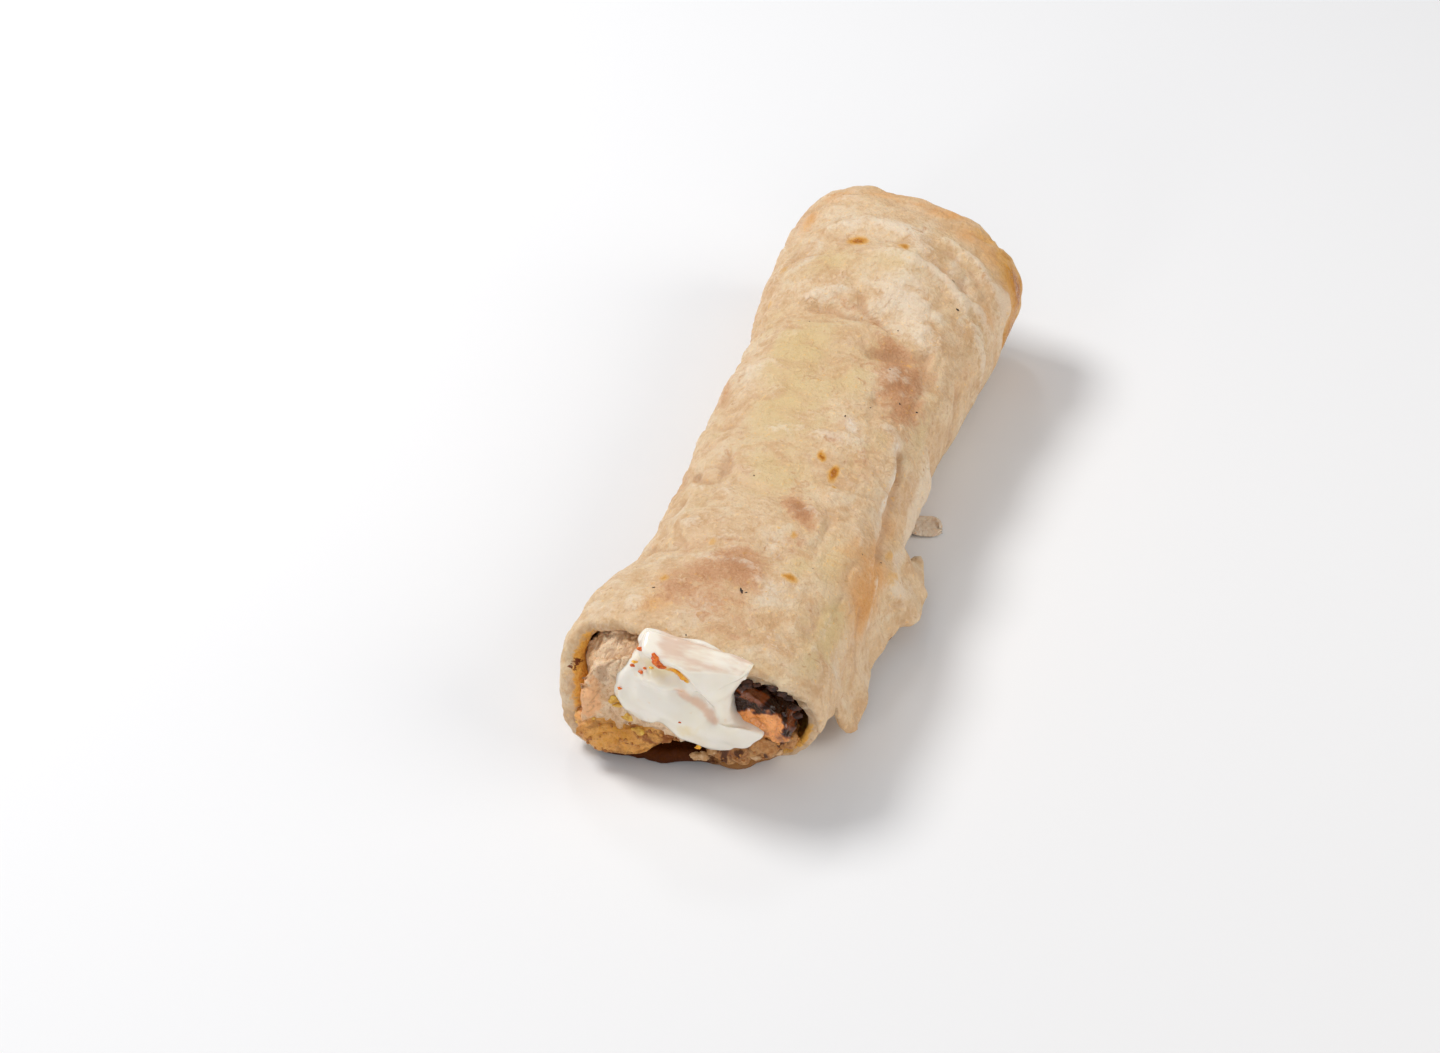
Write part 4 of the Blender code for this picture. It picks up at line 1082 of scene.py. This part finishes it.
def wrap_mesh():
    """The rolled sheet with its folds and its rounded rims."""
    middle, angle, half = bread_grid()
    rows, columns = angle.shape
    normal = normals_of(middle)
    relief = bread_relief(middle, angle)
    # the relief is weaker on the loose edge and where the sheet lies below its own outer layer
    outside = ease(angle, LEAVE_ANGLE - 60, LEAVE_ANGLE) * (1 - ease(angle, 375, 392))
    outer = middle + normal * (half + relief * np.maximum(outside, 0.25))[..., None]
    crumb = 0.175 * lumps(middle.reshape(-1, 3), 3.0, seed=62).reshape(angle.shape)
    inner = middle - normal * (half - relief * 0.3 + crumb)[..., None]
    for surface in (outer, inner):
        surface[..., 2] = np.maximum(surface[..., 2], 0.0)
    rim = grid_rim(rows, columns)
    rings, inner_share = rim_rings(outer, inner, normal, half, middle, rim)
    points = np.concatenate([surface.reshape(-1, 3) for surface in (outer, inner, rings)])
    front, back = grid_faces(rows, columns), grid_faces(rows, columns, rows * columns)[:, ::-1]
    faces = np.concatenate([front, back, rim_faces(rows, columns, rim)])
    made = mesh_object("flatbread_wrap", centred(points), faces)
    set_marks(made, **bread_marks(middle[..., 1], angle, relief, inner, rings, inner_share, rim))
    joined(made, tongue())
    outward_faces(made)
    return made


def tongue():
    """The thin end of the bread's inner turn, which slips out flat from under the roll."""
    rings = []
    across = np.linspace(-1, 1, 24)
    for share in np.linspace(0, 1, 30):
        half = TONGUE_HALF * np.sqrt(max(1 - share**4, 0.0)) * (1 - 0.15 * np.sin(share * 5))
        thick = 0.7 * np.sqrt(np.clip(1 - across**4, 0, 1)) * (1 - 0.4 * share) + 0.06
        x = TONGUE_FROM + share * (TONGUE_TO - TONGUE_FROM) + 0.5 * share * np.sin(7 * across)
        y = TONGUE_Y + half * across + 0.5 * share * np.sin(9 * share + 1)
        z = 1.5 - 0.5 * share + 0.3 * np.sin(5 * across + 4 * share)
        above, below = np.stack([x, y, z + thick], 1), np.stack([x, y, z - thick], 1)
        rings.append(np.concatenate([above, below[::-1]]))
    made = closed_loft("tongue", rings)
    everywhere = np.ones(len(made.data.vertices))
    # painted light: the tongue lies in the roll's shadow and is painted paler to lift it
    set_marks(made, whitish=0.9 * everywhere, fried=0.2 * everywhere)
    return made


def closed_curve(points, count):
    """Points spread along a smooth closed curve through the given ones."""
    ring = np.array([*points[-2:], *points, *points[:3]], float)
    knots = np.arange(-2.0, len(points) + 3)
    at = np.linspace(0, len(points), count, endpoint=False)
    return np.stack([smooth(np.stack([knots, ring[:, k]], 1), at) for k in range(3)], 1)


def closed_loft(name, rings):
    """A closed mesh through rings of points, with a point in the middle of each end."""
    grid = np.array(rings)
    rows, columns = grid.shape[:2]
    tips = rows * columns
    points = np.concatenate([grid.reshape(-1, 3), [grid[0].mean(0)], [grid[-1].mean(0)]])
    faces = grid_faces(rows, columns, closed_columns=True).tolist()
    for c in range(columns):
        d = (c + 1) % columns
        faces.append([c, d, tips])
        faces.append([tips - columns + c, tips - columns + d, tips + 1])
    made = mesh_object(name, centred(points), faces)
    outward_faces(made)
    return made


def sauce_front():
    """The body of the sauce at the front: a thick pour with a flat top, a ridge and hollows."""
    edge = closed_curve(SAUCE_OUTLINE, SAUCE_COLUMNS)
    wobble = 0.4 * lumps(edge, 3.0, seed=71) + 0.45 * lumps(edge, 1.6, seed=75) * ease(edge[:, 2], 18, 13)
    middle = np.array([SAUCE_MIDDLE[0], 0, SAUCE_MIDDLE[1]])
    away = (edge - middle) * (1, 0, 1)
    edge = edge + away / np.linalg.norm(away, axis=1, keepdims=True) * wobble[:, None]
    # the face curves back to its outline gently, and sharply along the flat top
    sharpness = 4 + 6 * ease(edge[:, 2], 33.5, 36)
    rings = []
    for share in np.sin(np.linspace(0.03, math.pi / 2, SAUCE_RINGS)):
        ring = middle + (edge - middle) * (share, 1, share)
        face = smooth(SAUCE_FRONT, ring[:, 0])
        push = 0.35 * lumps(ring, 6.0, seed=72) + 0.14 * lumps(ring, 2.2, seed=73)
        for line, width, height in SAUCE_FORMS:
            push += height * bell(near_line(ring[:, 0], ring[:, 2], line) / width)
        ring[:, 1] = face + (edge[:, 1] - face) * share**sharpness - push * (1 - share**8)
        rings.append(ring)
    for place, lower, width in SAUCE_BACK:
        ring = middle + (edge - middle) * (width, 1, width)
        ring[:, 1] = place + 0.8 * lumps(edge * (1, 0, 1), 5.0, seed=74) * min(place / 3, 1)
        ring[:, 2] -= lower * np.clip((edge[:, 2] - SAUCE_TOP_FROM) / SAUCE_TOP_FADE, 0, 1)
        rings.append(ring)
    return closed_loft("garlic_sauce_pour", rings)


def sauce_lap():
    """The film of sauce that lies back over the bread's lip."""
    angle = np.linspace(SAUCE_LAP[0][0], SAUCE_LAP[-1][0], 90)
    around = angle * MM_PER_DEGREE
    end = smooth(SAUCE_LAP, angle) + 0.5 * lumps(np.stack([around, 0 * angle, 0 * angle], 1), 2.5, 76)
    start = smooth(FRONT_LIP, angle) - 1.8
    side = np.clip(np.minimum(angle - angle[0], angle[-1] - angle) / 2.5, 0, 1) ** 0.5
    rings = []
    for share in np.linspace(0, 1, 26):
        y = start + (end - start) * share
        rounding = np.sqrt(np.clip(1 - (2 * share - 1) ** 6, 0, 1)) * side
        uneven = 1 + 0.6 * lumps(np.stack([around, y, 0 * y], 1), 3.0, 77)
        thick = SAUCE_LAP_THICKNESS * uneven * (1 + 0.2 * ease(angle, 100, 106)) * rounding
        above_x, above_z = layer_point(angle, y, LAYER_PITCH * angle / 360 - thick, 0)
        below_x, below_z = layer_point(angle, y, LAYER_PITCH * angle / 360 + 0.8, 0)
        above, below = np.stack([above_x, y, above_z], 1), np.stack([below_x, y, below_z], 1)
        rings.append(np.concatenate([above, below[::-1]]))
    return closed_loft("sauce lap", rings)


def sauce_strip():
    """The strip of sauce that runs on through the roll."""
    middle_x, middle_z, half_width, half_height, front, back = SAUCE_STRIP
    turns = SAUCE_FIRST_TURN - np.linspace(0, 2 * math.pi, SAUCE_STRIP_COLUMNS, endpoint=False)
    ends = np.radians((12, 30, 50, 70))
    steps = np.linspace(front, back, SAUCE_STRIP_RINGS)
    places_along = np.concatenate([front - 3 * np.cos(ends), steps, back + 4 * np.sin(ends)])
    dome = np.concatenate([np.sin(ends), np.ones(len(steps)), np.cos(ends)])
    rings = []
    for place, size in zip(places_along, dome):
        drift = smooth(MIDDLE_X, place) - MIDDLE_X[0][1]
        crag = 0.6 * waves(turns / (2 * math.pi), place / 24, seed=14)
        x = middle_x + drift + size * (half_width + crag) * signed_power(np.cos(turns), 2 / STRIP_POWER)
        z = middle_z + size * (half_height + crag) * signed_power(np.sin(turns), 2 / STRIP_POWER)
        rings.append(kept_in_hollow(np.stack([x, np.full(len(x), place), z], 1), clearance=0.8))
    return closed_loft("sauce strip", rings)


def sauce_mesh():
    """All of the sauce: its front and its film drawn as one skin, and its strip inside the roll."""
    made = sauce_front()
    joined(made, sauce_lap())
    remeshed(made, SAUCE_SKIN, smoothing=7)
    joined(made, sauce_strip())
    points, normal = points_and_normals(made)
    x, y, z = points.T
    front_face = 1 - ease(y, 0.0, 3.0)
    at = seen(points, -5.0)
    # the flat top and what lies behind the lip are a thin film, and two places on the face are creamier
    top = ease(normal[:, 2], 0.35, 0.8) * ease(z, 32.5, 34.5)
    film = np.maximum(top * ease(x, -9.5, -4.5), ease(y, 0.8, 1.8) * ease(z, 32, 34) * ease(x, -10.5, -7.5))
    cream = bell((x + 6.5) / 4.5, (z - 32.5) / 2.6) + 0.7 * bell((x - 1) / 3, (z - 17) / 2.5)
    thin = 1.1 * bell(near_line(*at, SAUCE_THIN) / 1.6)
    oil = bell(near_line(*at, CHILLI_STREAK) / 0.9)
    set_marks(made, thin=thin * front_face, film=0.9 * film, cream=cream * front_face, oil=oil * front_face)
    return made


def seen(points, plane=0.0):
    """Where points appear in an upright plane across the roll, seen as in the photograph: (across, up)."""
    behind = np.clip(points[:, 1] - plane, -6, 12)
    return points[:, 0] + VIEW_SLANT[0] * behind, points[:, 2] + VIEW_SLANT[1] * behind


def fill_end(made, end, reach, grow, length, blunt, from_y):
    """Fills a strip's front (-1) or far (1) end out towards the bread: less domed, further out, thicker."""
    points, normal = points_and_normals(made)
    depth = (points[:, 1] * end).max() - points[:, 1] * end
    behind = points[(depth > STRIP_DOME) & (depth < STRIP_DOME + 6)]
    middle = (behind.min(0) + behind.max(0)) / 2
    domed = np.sqrt(1 - (1 - np.clip(depth / STRIP_DOME, 0, 1)) ** 2)
    size = np.maximum(domed, 0.3) ** -blunt
    near = 1 - ease(depth, 3, length)
    moved = points + normal * (grow * near)[:, None] * (1, 0.3, 1)
    moved[:, ::2] = middle[::2] + (moved[:, ::2] - middle[::2]) * size[:, None]
    moved[:, 1] += end * reach * near
    move_points(made, kept_in_hollow(moved, from_y=from_y))


def strip_of_chicken(name, node, front, far, depths, from_y=EVERYWHERE):
    """A strip drawn again from its solid, its ends filled out by (reach, grow, length, blunt), and its points
    and normals."""
    made = in_scene(name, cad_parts[node].data.copy())
    with opened(made) as mesh:
        bmesh.ops.remove_doubles(mesh, verts=mesh.verts, dist=1e-6)
    made.data.materials.clear()
    remeshed(made, STRIP_SKIN, smoothing=6)
    fill_end(made, 1, *far, EVERYWHERE)
    fill_end(made, -1, *front, from_y)
    finer(made, depths)
    return made, *points_and_normals(made)


def roughen(made, points, sizes, crusts, seed, grain=(1, 1, 1)):
    """Moves a mesh's points to the given ones, then in and out by smooth lumps and by furrowed ones: size and
    height in mm. The furrows run along the direction where grain is small."""
    move_points(made, points)
    points, normal = points_and_normals(made)
    push = sum(height * lumps(points, size, seed + n) for n, (size, height) in enumerate(sizes))
    bent = points * grain + 0.9 * np.stack([lumps(points, 3.0, seed + 20 + k) for k in range(3)], 1)
    furrowed = [billowed(lumps(bent, size, seed + 10 + n)) for n, (size, _) in enumerate(crusts)]
    crust = sum(height * swelling for (_, height), swelling in zip(crusts, furrowed))
    moved = points + normal * (push + crust)[:, None]
    moved[:, 2] = np.maximum(moved[:, 2], 0.2)
    move_points(made, moved)
    # painted shade, darkest where the crust's furrows sink in
    set_marks(made, hollow=np.clip(-1.3 * crust / crusts[0][1], 0, 1))
    return points_and_normals(made)[0]


def soft_spot(points, x, z, width, height):
    """1 at a place on a front end, falling away round it."""
    return bell((points[:, 0] - x) / width, (points[:, 2] - z) / height) * (points[:, 1] < FRONT_END)


def pale_chicken():
    """The pale fibrous strip, with a lump at its left and its underside kept off the masala strip below."""
    front, far = (2.2, 4.6, 14, 1.0), (3.0, 3.0, 16, 0.7)
    made, points, normal = strip_of_chicken("pale_chicken", "boti_pale", front, far, (12, 7))
    lump = soft_spot(points, -22.4, 18.6, 2.4, 4.6)
    points += normal * (2.0 * lump)[:, None]
    # its right half stays above the masala strip
    near_right = (1 - ease(points[:, 1], 2, 12)) * ease(points[:, 0], -15, -9)
    points[:, 2] += near_right * np.maximum(12.0 - points[:, 2], 0)
    points = roughen(made, points, ((5.0, 0.8), (1.0, 0.2)), ((2.2, 0.36), (1.0, 0.26)), 81, (1, 1, 0.55))
    z = points[:, 2]
    rosy = 1.5 * lump + 0.6 * soft_spot(points, -25.5, 13.0, 3.0, 5.0)
    oil = 0.9 * ease(z, 31, 34) + 0.5 * ease(z, 14, 11) + 0.4 * soft_spot(points, -27, 22, 1.5, 9)
    browned = 1.3 * soft_spot(points, -18.5, 35.5, 5.5, 2.2) + 0.9 * soft_spot(points, -13, 32, 1.4, 3)
    set_marks(made, rosy=rosy, oil=oil, browned=browned)
    return made


def masala_chicken():
    """The spice-crusted strip, its front end spilling over the lip between its underside and its top."""
    front, far = (0.8, 1.0, 12, 0.5), (2.0, 2.4, 16, 0.7)
    made, points, _ = strip_of_chicken("masala_chicken", "boti_masala", front, far, (10, 5), -1.5)
    x, y, z = points.T
    spill = np.maximum(1 - ease(y, -3.5, 3.0), (1 - ease(y, 4, 14)) * ease(x, -13, -7))
    under = np.interp(x, *zip(*MASALA_UNDERSIDE))
    over = np.interp(x, *zip(*MASALA_TOP))
    share = (z - z.min()) / (MASALA_TOP[-1][1] - z.min())
    z = z + spill * (under + share * (over - under) - z)
    x = x - 1.2 * spill * ease(x, -16, -25)
    crusts = (3.4, 0.45), (1.5, 0.24), (0.8, 0.12)
    points = roughen(made, np.stack([x, y, z], 1), ((5.5, 0.9), (0.9, 0.16)), crusts, 91, (0.7, 1, 1))
    x, y, z = points.T
    # the fold, the underside and the right end carry painted shade, darker brown, in the same mark as the
    # browning
    fold = bell(near_line(x, z, MASALA_FOLD)) * (y < 6)
    below = np.maximum(1 - ease(z, 3.0, 6.5), ease(x, -10, -4))
    rosy = 0.9 * soft_spot(points, -25.0, 13.0, 3, 3.5)
    oil = 0.4 + 0.5 * lumps(points, 4.0, seed=95)
    set_marks(made, browned=np.maximum(0.8 * fold, 0.75 * below), rosy=rosy, oil=oil)
    return made


def charred_chicken():
    """The blackened strip: charred above an uneven edge and round its side, with a few bare patches."""
    front, far = (2.2, 1.6, 12, 0.5), (3.0, 2.6, 16, 0.7)
    made, points, _ = strip_of_chicken("charred_chicken", "boti_charred", front, far, (13, 8))
    # its underside is lifted off the shreds
    points[:, 2] += (1 - ease(points[:, 1], 2, 12)) * 3.4 * ease(points[:, 2], 20, 11)
    points = roughen(made, points, ((4.5, 1.2), (1.2, 0.2)), ((3.2, 0.5), (1.4, 0.18)), 101)
    x, z = seen(points)
    uneven = 0.9 * lumps(points, 2.2, seed=104) + 0.7 * lumps(points, 0.9, seed=106)
    edge = np.interp(x, *zip(*CHAR_EDGE))
    burnt = np.maximum(ease(z + uneven - edge, -1.1, 0.9), ease(x + uneven, 20.8, 22.2) * ease(z, 15, 17))
    # two patches where the char has come off
    patch = 1.5 * bell((x - 14.4) / 3.4, (z - 26.0) / 1.9) + 1.1 * bell((x - 23.2) / 1.5, (z - 21.0) / 3.4)
    patch += 0.4 * lumps(points, 1.3, seed=107)
    scorch = 1.5 * burnt * (1 - 0.95 * np.clip(patch, 0, 1))
    browned = 1.3 * burnt + 0.5 * (1 - ease(z, 15.0, 17.5))
    set_marks(made, scorch=scorch, browned=browned, oil=0.35 + 0.3 * lumps(points, 4.0, seed=105))
    return made


def shredded_chicken():
    """The brown shreds, crumbly all over."""
    front, far = (4.6, 1.6, 12, 0.5), (2.5, 2.0, 16, 0.7)
    made, points, _ = strip_of_chicken("shredded_chicken", "boti_shreds", front, far, (13, 8))
    # its top fills the room below the charred strip
    points[:, 2] += 3.0 * (1 - ease(points[:, 1], 1, 8)) * ease(points[:, 2], 4, 11)
    points = roughen(made, points, ((3.6, 1.0), (1.2, 0.3)), ((2.2, 0.6), (1.1, 0.35)), 111, (0.5, 1, 1))
    oil = 0.3 + 0.4 * lumps(points, 4.0, seed=115)
    set_marks(made, oil=oil, browned=1.2 * ease(lumps(points, 1.6, seed=116), 0.0, 0.5))
    return made


def torn_bits(name, spots, seed):
    """A few larger torn bits, each at (x, y, z) with a size in mm."""
    unit, faces = ball(3)
    shapes = []
    for number, (*place, size) in enumerate(spots):
        uneven = 1 + 0.6 * lumps(unit + 7 * number, 0.9, seed) + 0.3 * lumps(unit + 5 * number, 0.4, seed + 1)
        shape = place + unit * uneven[:, None] * size / 2 * (1.25, 0.8, 0.75)
        shape[:, 2] = np.maximum(shape[:, 2], 0.1)
        shapes.append(shape)
    return bits_object(name, shapes, faces)


def burnt_specks(surface):
    """Burnt flecks of flour, pressed flat into the bread's outer face."""
    points, normal = points_and_normals(surface)
    unit, faces = ball(3)
    draw = np.random.default_rng(161)
    shapes = []
    for along, angle, size in SPECKS:
        x, z = layer_point(np.array(angle), np.array(along), 0, 0)
        nearest = np.argmin(np.hypot(points[:, 0] - x, points[:, 2] - z) + np.abs(points[:, 1] - along))
        spin = Matrix.Rotation(draw.uniform(0, 6.28), 3, "Z")
        turn = Vector(normal[nearest]).to_track_quat("Z", "Y").to_matrix() @ spin
        extent = size * draw.uniform(0.8, 1.3), size * draw.uniform(0.4, 0.7), 0.15
        uneven = 1 + 0.8 * lumps(unit / 2 + 9 * along, 0.35, 162)
        shapes.append(points[nearest] + unit / 2 * uneven[:, None] * extent @ np.array(turn).T)
    return bits_object("burnt_specks", shapes, faces)


def crumb_to_strew():
    """One small irregular crumb, a millimetre across, which isn't in the scene itself."""
    unit, faces = ball(2)
    uneven = 1 + 0.55 * lumps(unit / 2, 0.45, 5)
    made = mesh_object("crumb", unit / 2 * uneven[:, None] * (1, 1, 0.7), faces)
    bpy.context.scene.collection.objects.unlink(made)
    return made


def scatter_tree():
    """A node tree that strews copies of one bit over a surface where its "strewn" mark is high."""
    tree = bpy.data.node_groups.new("strewn bits", "GeometryNodeTree")
    for label, kind, default in (
        ("Surface", "NodeSocketGeometry", None),
        ("Bit", "NodeSocketObject", None),
        ("Bits per square metre", "NodeSocketFloat", 1e5),
        ("Smallest", "NodeSocketFloat", 0.5),
        ("Largest", "NodeSocketFloat", 1.5),
        ("Seed", "NodeSocketInt", 1),
        ("Material", "NodeSocketMaterial", None),
    ):
        socket = tree.interface.new_socket(label, in_out="INPUT", socket_type=kind)
        if default is not None:
            socket.default_value = default
    tree.interface.new_socket("Bits", in_out="OUTPUT", socket_type="NodeSocketGeometry")
    given = add(tree, "NodeGroupInput", {}).outputs
    seed = given["Seed"]
    strewn = add(tree, "GeometryNodeInputNamedAttribute", {"Name": "strewn"}, data_type="FLOAT").outputs[0]
    sockets = {"Mesh": given["Surface"], "Density Max": given["Bits per square metre"],
               "Density Factor": strewn, "Seed": seed, "Distance Min": 0.35 * MM}
    spread = add(tree, "GeometryNodeDistributePointsOnFaces", sockets, distribute_method="POISSON").outputs
    sockets = {2: given["Smallest"], 3: given["Largest"], "Seed": seed}
    size = add(tree, "FunctionNodeRandomValue", sockets, data_type="FLOAT").outputs[1]
    # each bit is tipped a little and turned any way round
    sockets = {0: (-0.5, -0.5, -3.14), 1: (0.5, 0.5, 3.14), "Seed": seed}
    turn = add(tree, "FunctionNodeRandomValue", sockets, data_type="FLOAT_VECTOR").outputs[0]
    sockets = {0: spread["Rotation"], 1: turn}
    turned = add(tree, "FunctionNodeRotateRotation", sockets, rotation_space="LOCAL").outputs[0]
    bit = add(tree, "GeometryNodeObjectInfo", {"Object": given["Bit"]}).outputs["Geometry"]
    sockets = {"Points": spread["Points"], "Instance": bit, "Rotation": turned, "Scale": size}
    copies = add(tree, "GeometryNodeInstanceOnPoints", sockets)
    real = add(tree, "GeometryNodeRealizeInstances", {0: copies.outputs[0]})
    coloured = add(tree, "GeometryNodeSetMaterial", {0: real.outputs[0], "Material": given["Material"]})
    add(tree, "NodeGroupOutput", {0: coloured.outputs[0]})
    return tree


def strew(name, surface, strewn, given):
    """A mesh of bits strewn over a surface, as a piece of its own. The scatter's inputs are given by name."""
    host = in_scene(name, surface.data.copy())
    set_marks(host, strewn=strewn)
    modifier = host.modifiers.new("strewn bits", "NODES")
    modifier.node_group = bpy.data.node_groups.get("strewn bits") or scatter_tree()
    for item in modifier.node_group.interface.items_tree:
        if item.name in given:
            modifier[item.identifier] = given[item.name]
    evaluated(host)
    if not host.data.polygons:
        raise RuntimeError(f"{name} has no bits")
    host.data.shade_smooth()
    return host


# How each strip of chicken is made: its shape, solid, slot and material, the material's colours (pale, deep,
# dark, oily, brown), its roughness and how wet its glaze is
STRIPS = (
    (pale_chicken, "boti_pale", "pale_chicken", "grilled chicken breast",
     ("#e9cdac", "#cfa476", "#8f5a32", "#d08c3e", "#bc7836"), 0.45, 0.0),
    (masala_chicken, "boti_masala", "masala_chicken", "masala-crusted chicken",
     ("#e4a758", "#c68238", "#7c4010", "#dc982c", "#8c4c18"), 0.4, 0.0),
    (charred_chicken, "boti_charred", "charred_chicken", "char-glazed chicken",
     ("#ffab5e", "#e98f46", "#8a4820", "#ee9c4e", "#6a3118"), 0.3, 0.7),
    (shredded_chicken, "boti_shreds", "chicken_shreds", "shredded grilled chicken",
     ("#c8965f", "#935424", "#3c1a05", "#a86624", "#502809"), 0.42, 0.0),
)
# The torn bits, laid one by one: piece, spots, seed, and the material's name, two colours and roughness
TORN = (
    ("torn_bread", BREAD_BITS, 141, "torn flatbread", "#d2ae84", "#b98a58", 0.6),
    ("spice_lumps", SPICE_BITS, 151, "spice crust", "#e9bd54", "#d29a3c", 0.4),
    ("burnt_bits", BURNT_BITS, 171, "burnt crust", "#260f07", "#4a2410", 0.65),
    ("chilli_flakes", CHILLI_BITS, 181, "chilli flake", "#ee7a20", "#cc5410", 0.25),
    ("oily_flakes", OILY_BITS, 191, "oil-soaked chilli", "#fac436", "#ec9c20", 0.2),
)
# Lights: name, place in metres, size, power as a share of the key light's, colour
LIGHTS = (
    ("key light", (-0.6, 0.12, 0.72), 0.32, 1.0, "#fffcf7"),
    ("front fill", (0.35, -0.85, 0.5), 0.8, 0.3, "#fdf6ea"),
    ("right fill", (0.85, 0.1, 0.5), 0.7, 0.6, "#fff7ea"),
    ("low glint", (-0.3, -0.95, 0.35), 0.2, 0.18, "#ffffff"),
    ("high glint", (-0.35, 0.6, 0.75), 0.15, 0.1, "#ffffff"),
)


# ------------------------------------------------------------------ settings, operators and panel


class RollSettings(PropertyGroup):
    """Colours and amounts that a user would change."""

    bread_colour: FloatVectorProperty(
        name="Bread", description="Colour of the pale bread",
        subtype="COLOR", size=3, min=0, max=1, default=linear("#dabd99")[:3])
    sauce_colour: FloatVectorProperty(
        name="Sauce", description="Colour of the garlic sauce",
        subtype="COLOR", size=3, min=0, max=1, default=linear("#f1ebe0")[:3])
    floor_colour: FloatVectorProperty(
        name="Floor", description="Colour of the ground under the roll",
        subtype="COLOR", size=3, min=0, max=1, default=linear("#eceef2")[:3])
    crumb_density: FloatProperty(
        name="Crumbs", description="Crumbs per square centimetre", default=18, min=0, max=60)
    key_power: FloatProperty(
        name="Key light", description="Power of the large light",
        subtype="POWER", unit="POWER", default=6.05, min=0, max=100)
    seed: IntProperty(
        name="Seed", description="Which scatter of crumbs is drawn", default=3, min=1, max=99)


class ROLL_OT_bread(Operator):
    """Build the rolled flatbread with its folds, marks and ragged lips"""

    bl_idname = "roll.bread"
    bl_label = "Flatbread"

    def execute(self, context):
        bread = wrap_mesh()
        finish_piece(bread, flatbread_material(context.scene.roll_settings), "paratha_wrap")
        finish_piece(burnt_specks(bread), bit_material("burnt flour", "#3a2114", "#20120c", 0.6))
        return {"FINISHED"}


class ROLL_OT_chicken(Operator):
    """Build the four strips of chicken that fill the roll"""

    bl_idname = "roll.chicken"
    bl_label = "Chicken"

    def execute(self, context):
        for shaped, node, slot, *look in STRIPS:
            finish_piece(shaped(), meat_material(*look), node)
        return {"FINISHED"}


class ROLL_OT_sauce(Operator):
    """Build the garlic sauce that runs over the front lip"""

    bl_idname = "roll.sauce"
    bl_label = "Sauce"

    def execute(self, context):
        material = sauce_material(context.scene.roll_settings)
        finish_piece(sauce_mesh(), material, "garlic_sauce")
        return {"FINISHED"}


class ROLL_OT_bits(Operator):
    """Lay torn bits and chilli flakes at the front and strew crumbs over the chicken"""

    bl_idname = "roll.bits"
    bl_label = "Bits, chilli and crumbs"

    def execute(self, context):
        settings = context.scene.roll_settings
        for name, spots, seed, *look in TORN:
            finish_piece(torn_bits(name, spots, seed), bit_material(*look))
        brown = bit_material("masala crumb", "#c98b42", "#a4642a", 0.45)
        given = {"Bit": crumb_to_strew(), "Bits per square metre": settings.crumb_density * PER_SQUARE_METRE,
                 "Smallest": 0.3, "Largest": 1.1, "Seed": settings.seed, "Material": brown}
        for host_name, name, extent in (
            ("masala_chicken", "masala_crumbs", 4.0),
            ("shredded_chicken", "shred_crumbs", 9.0),
        ):
            host = bpy.data.objects[host_name]
            along = points_and_normals(host)[0][:, 1]
            strewn = 1 - ease(along, extent, extent + CRUMBS_FADE)
            finish_piece(strew(name, host, strewn, given), brown)
        return {"FINISHED"}


class ROLL_OT_stage(Operator):
    """Set up the floor, the lights and the camera"""

    bl_idname = "roll.stage"
    bl_label = "Stage"

    def execute(self, context):
        scene, settings = context.scene, context.scene.roll_settings
        corners = [(-FLOOR, -FLOOR, 0), (FLOOR, -FLOOR, 0), (FLOOR, FLOOR, 0), (-FLOOR, FLOOR, 0)]
        floor = mesh_object("studio_floor", corners, [(0, 1, 2, 3)])
        floor.data.materials.append(floor_material(settings))
        for name, place, size, share, colour in LIGHTS:
            data = bpy.data.lights.new(name, "AREA")
            data.shape = "DISK"
            data.size = size
            data.energy = settings.key_power * share
            data.color = linear(colour)[:3]
            light = in_scene(name, data)
            light.location = place
            light.rotation_euler = (LIT - Vector(place)).to_track_quat("-Z", "Y").to_euler()
        world = bpy.data.worlds.new("studio")
        world.use_nodes = True
        background = world.node_tree.nodes["Background"]
        background.inputs["Color"].default_value = linear("#f4f6fb")
        background.inputs["Strength"].default_value = 0.34
        scene.world = world
        scene.view_settings.view_transform = "Standard"
        data = bpy.data.cameras.new("camera")
        data.sensor_width = SENSOR_WIDTH
        data.lens = FOCAL_PIXELS * SENSOR_WIDTH / PHOTO_WIDTH
        data.clip_start, data.clip_end = 0.05, 20.0
        forward = CAMERA_LOOKS.normalized()
        right = forward.cross(Vector((0, 0, 1))).normalized()
        turn = Matrix((right, right.cross(forward), -forward)).transposed().to_4x4()
        scene.camera = in_scene("camera", data)
        scene.camera.matrix_world = Matrix.Translation(centred(CAMERA_STANDS) * MM) @ turn
        return {"FINISHED"}


class ROLL_PT_panel(Panel):
    """Lists the roll's settings and its pieces"""

    bl_idname = "ROLL_PT_panel"
    bl_label = "Chicken boti roll"
    bl_space_type = "VIEW_3D"
    bl_region_type = "UI"
    bl_category = "Roll"

    def draw(self, context):
        for name in RollSettings.__annotations__:
            self.layout.prop(context.scene.roll_settings, name)
        for operator in OPERATORS:
            self.layout.operator(operator.bl_idname)


OPERATORS = (ROLL_OT_bread, ROLL_OT_chicken, ROLL_OT_sauce, ROLL_OT_bits, ROLL_OT_stage)


def register():
    for cls in (RollSettings, *OPERATORS, ROLL_PT_panel):
        bpy.utils.register_class(cls)
    bpy.types.Scene.roll_settings = PointerProperty(type=RollSettings)


def unregister():
    del bpy.types.Scene.roll_settings
    for cls in (ROLL_PT_panel, *reversed(OPERATORS), RollSettings):
        bpy.utils.unregister_class(cls)


def main():
    register()
    bpy.ops.roll.bread()
    bpy.ops.roll.chicken()
    bpy.ops.roll.sauce()
    bpy.ops.roll.bits()
    bpy.ops.roll.stage()
    bpy.context.view_layer.update()


if __name__ == "__main__":
    main()
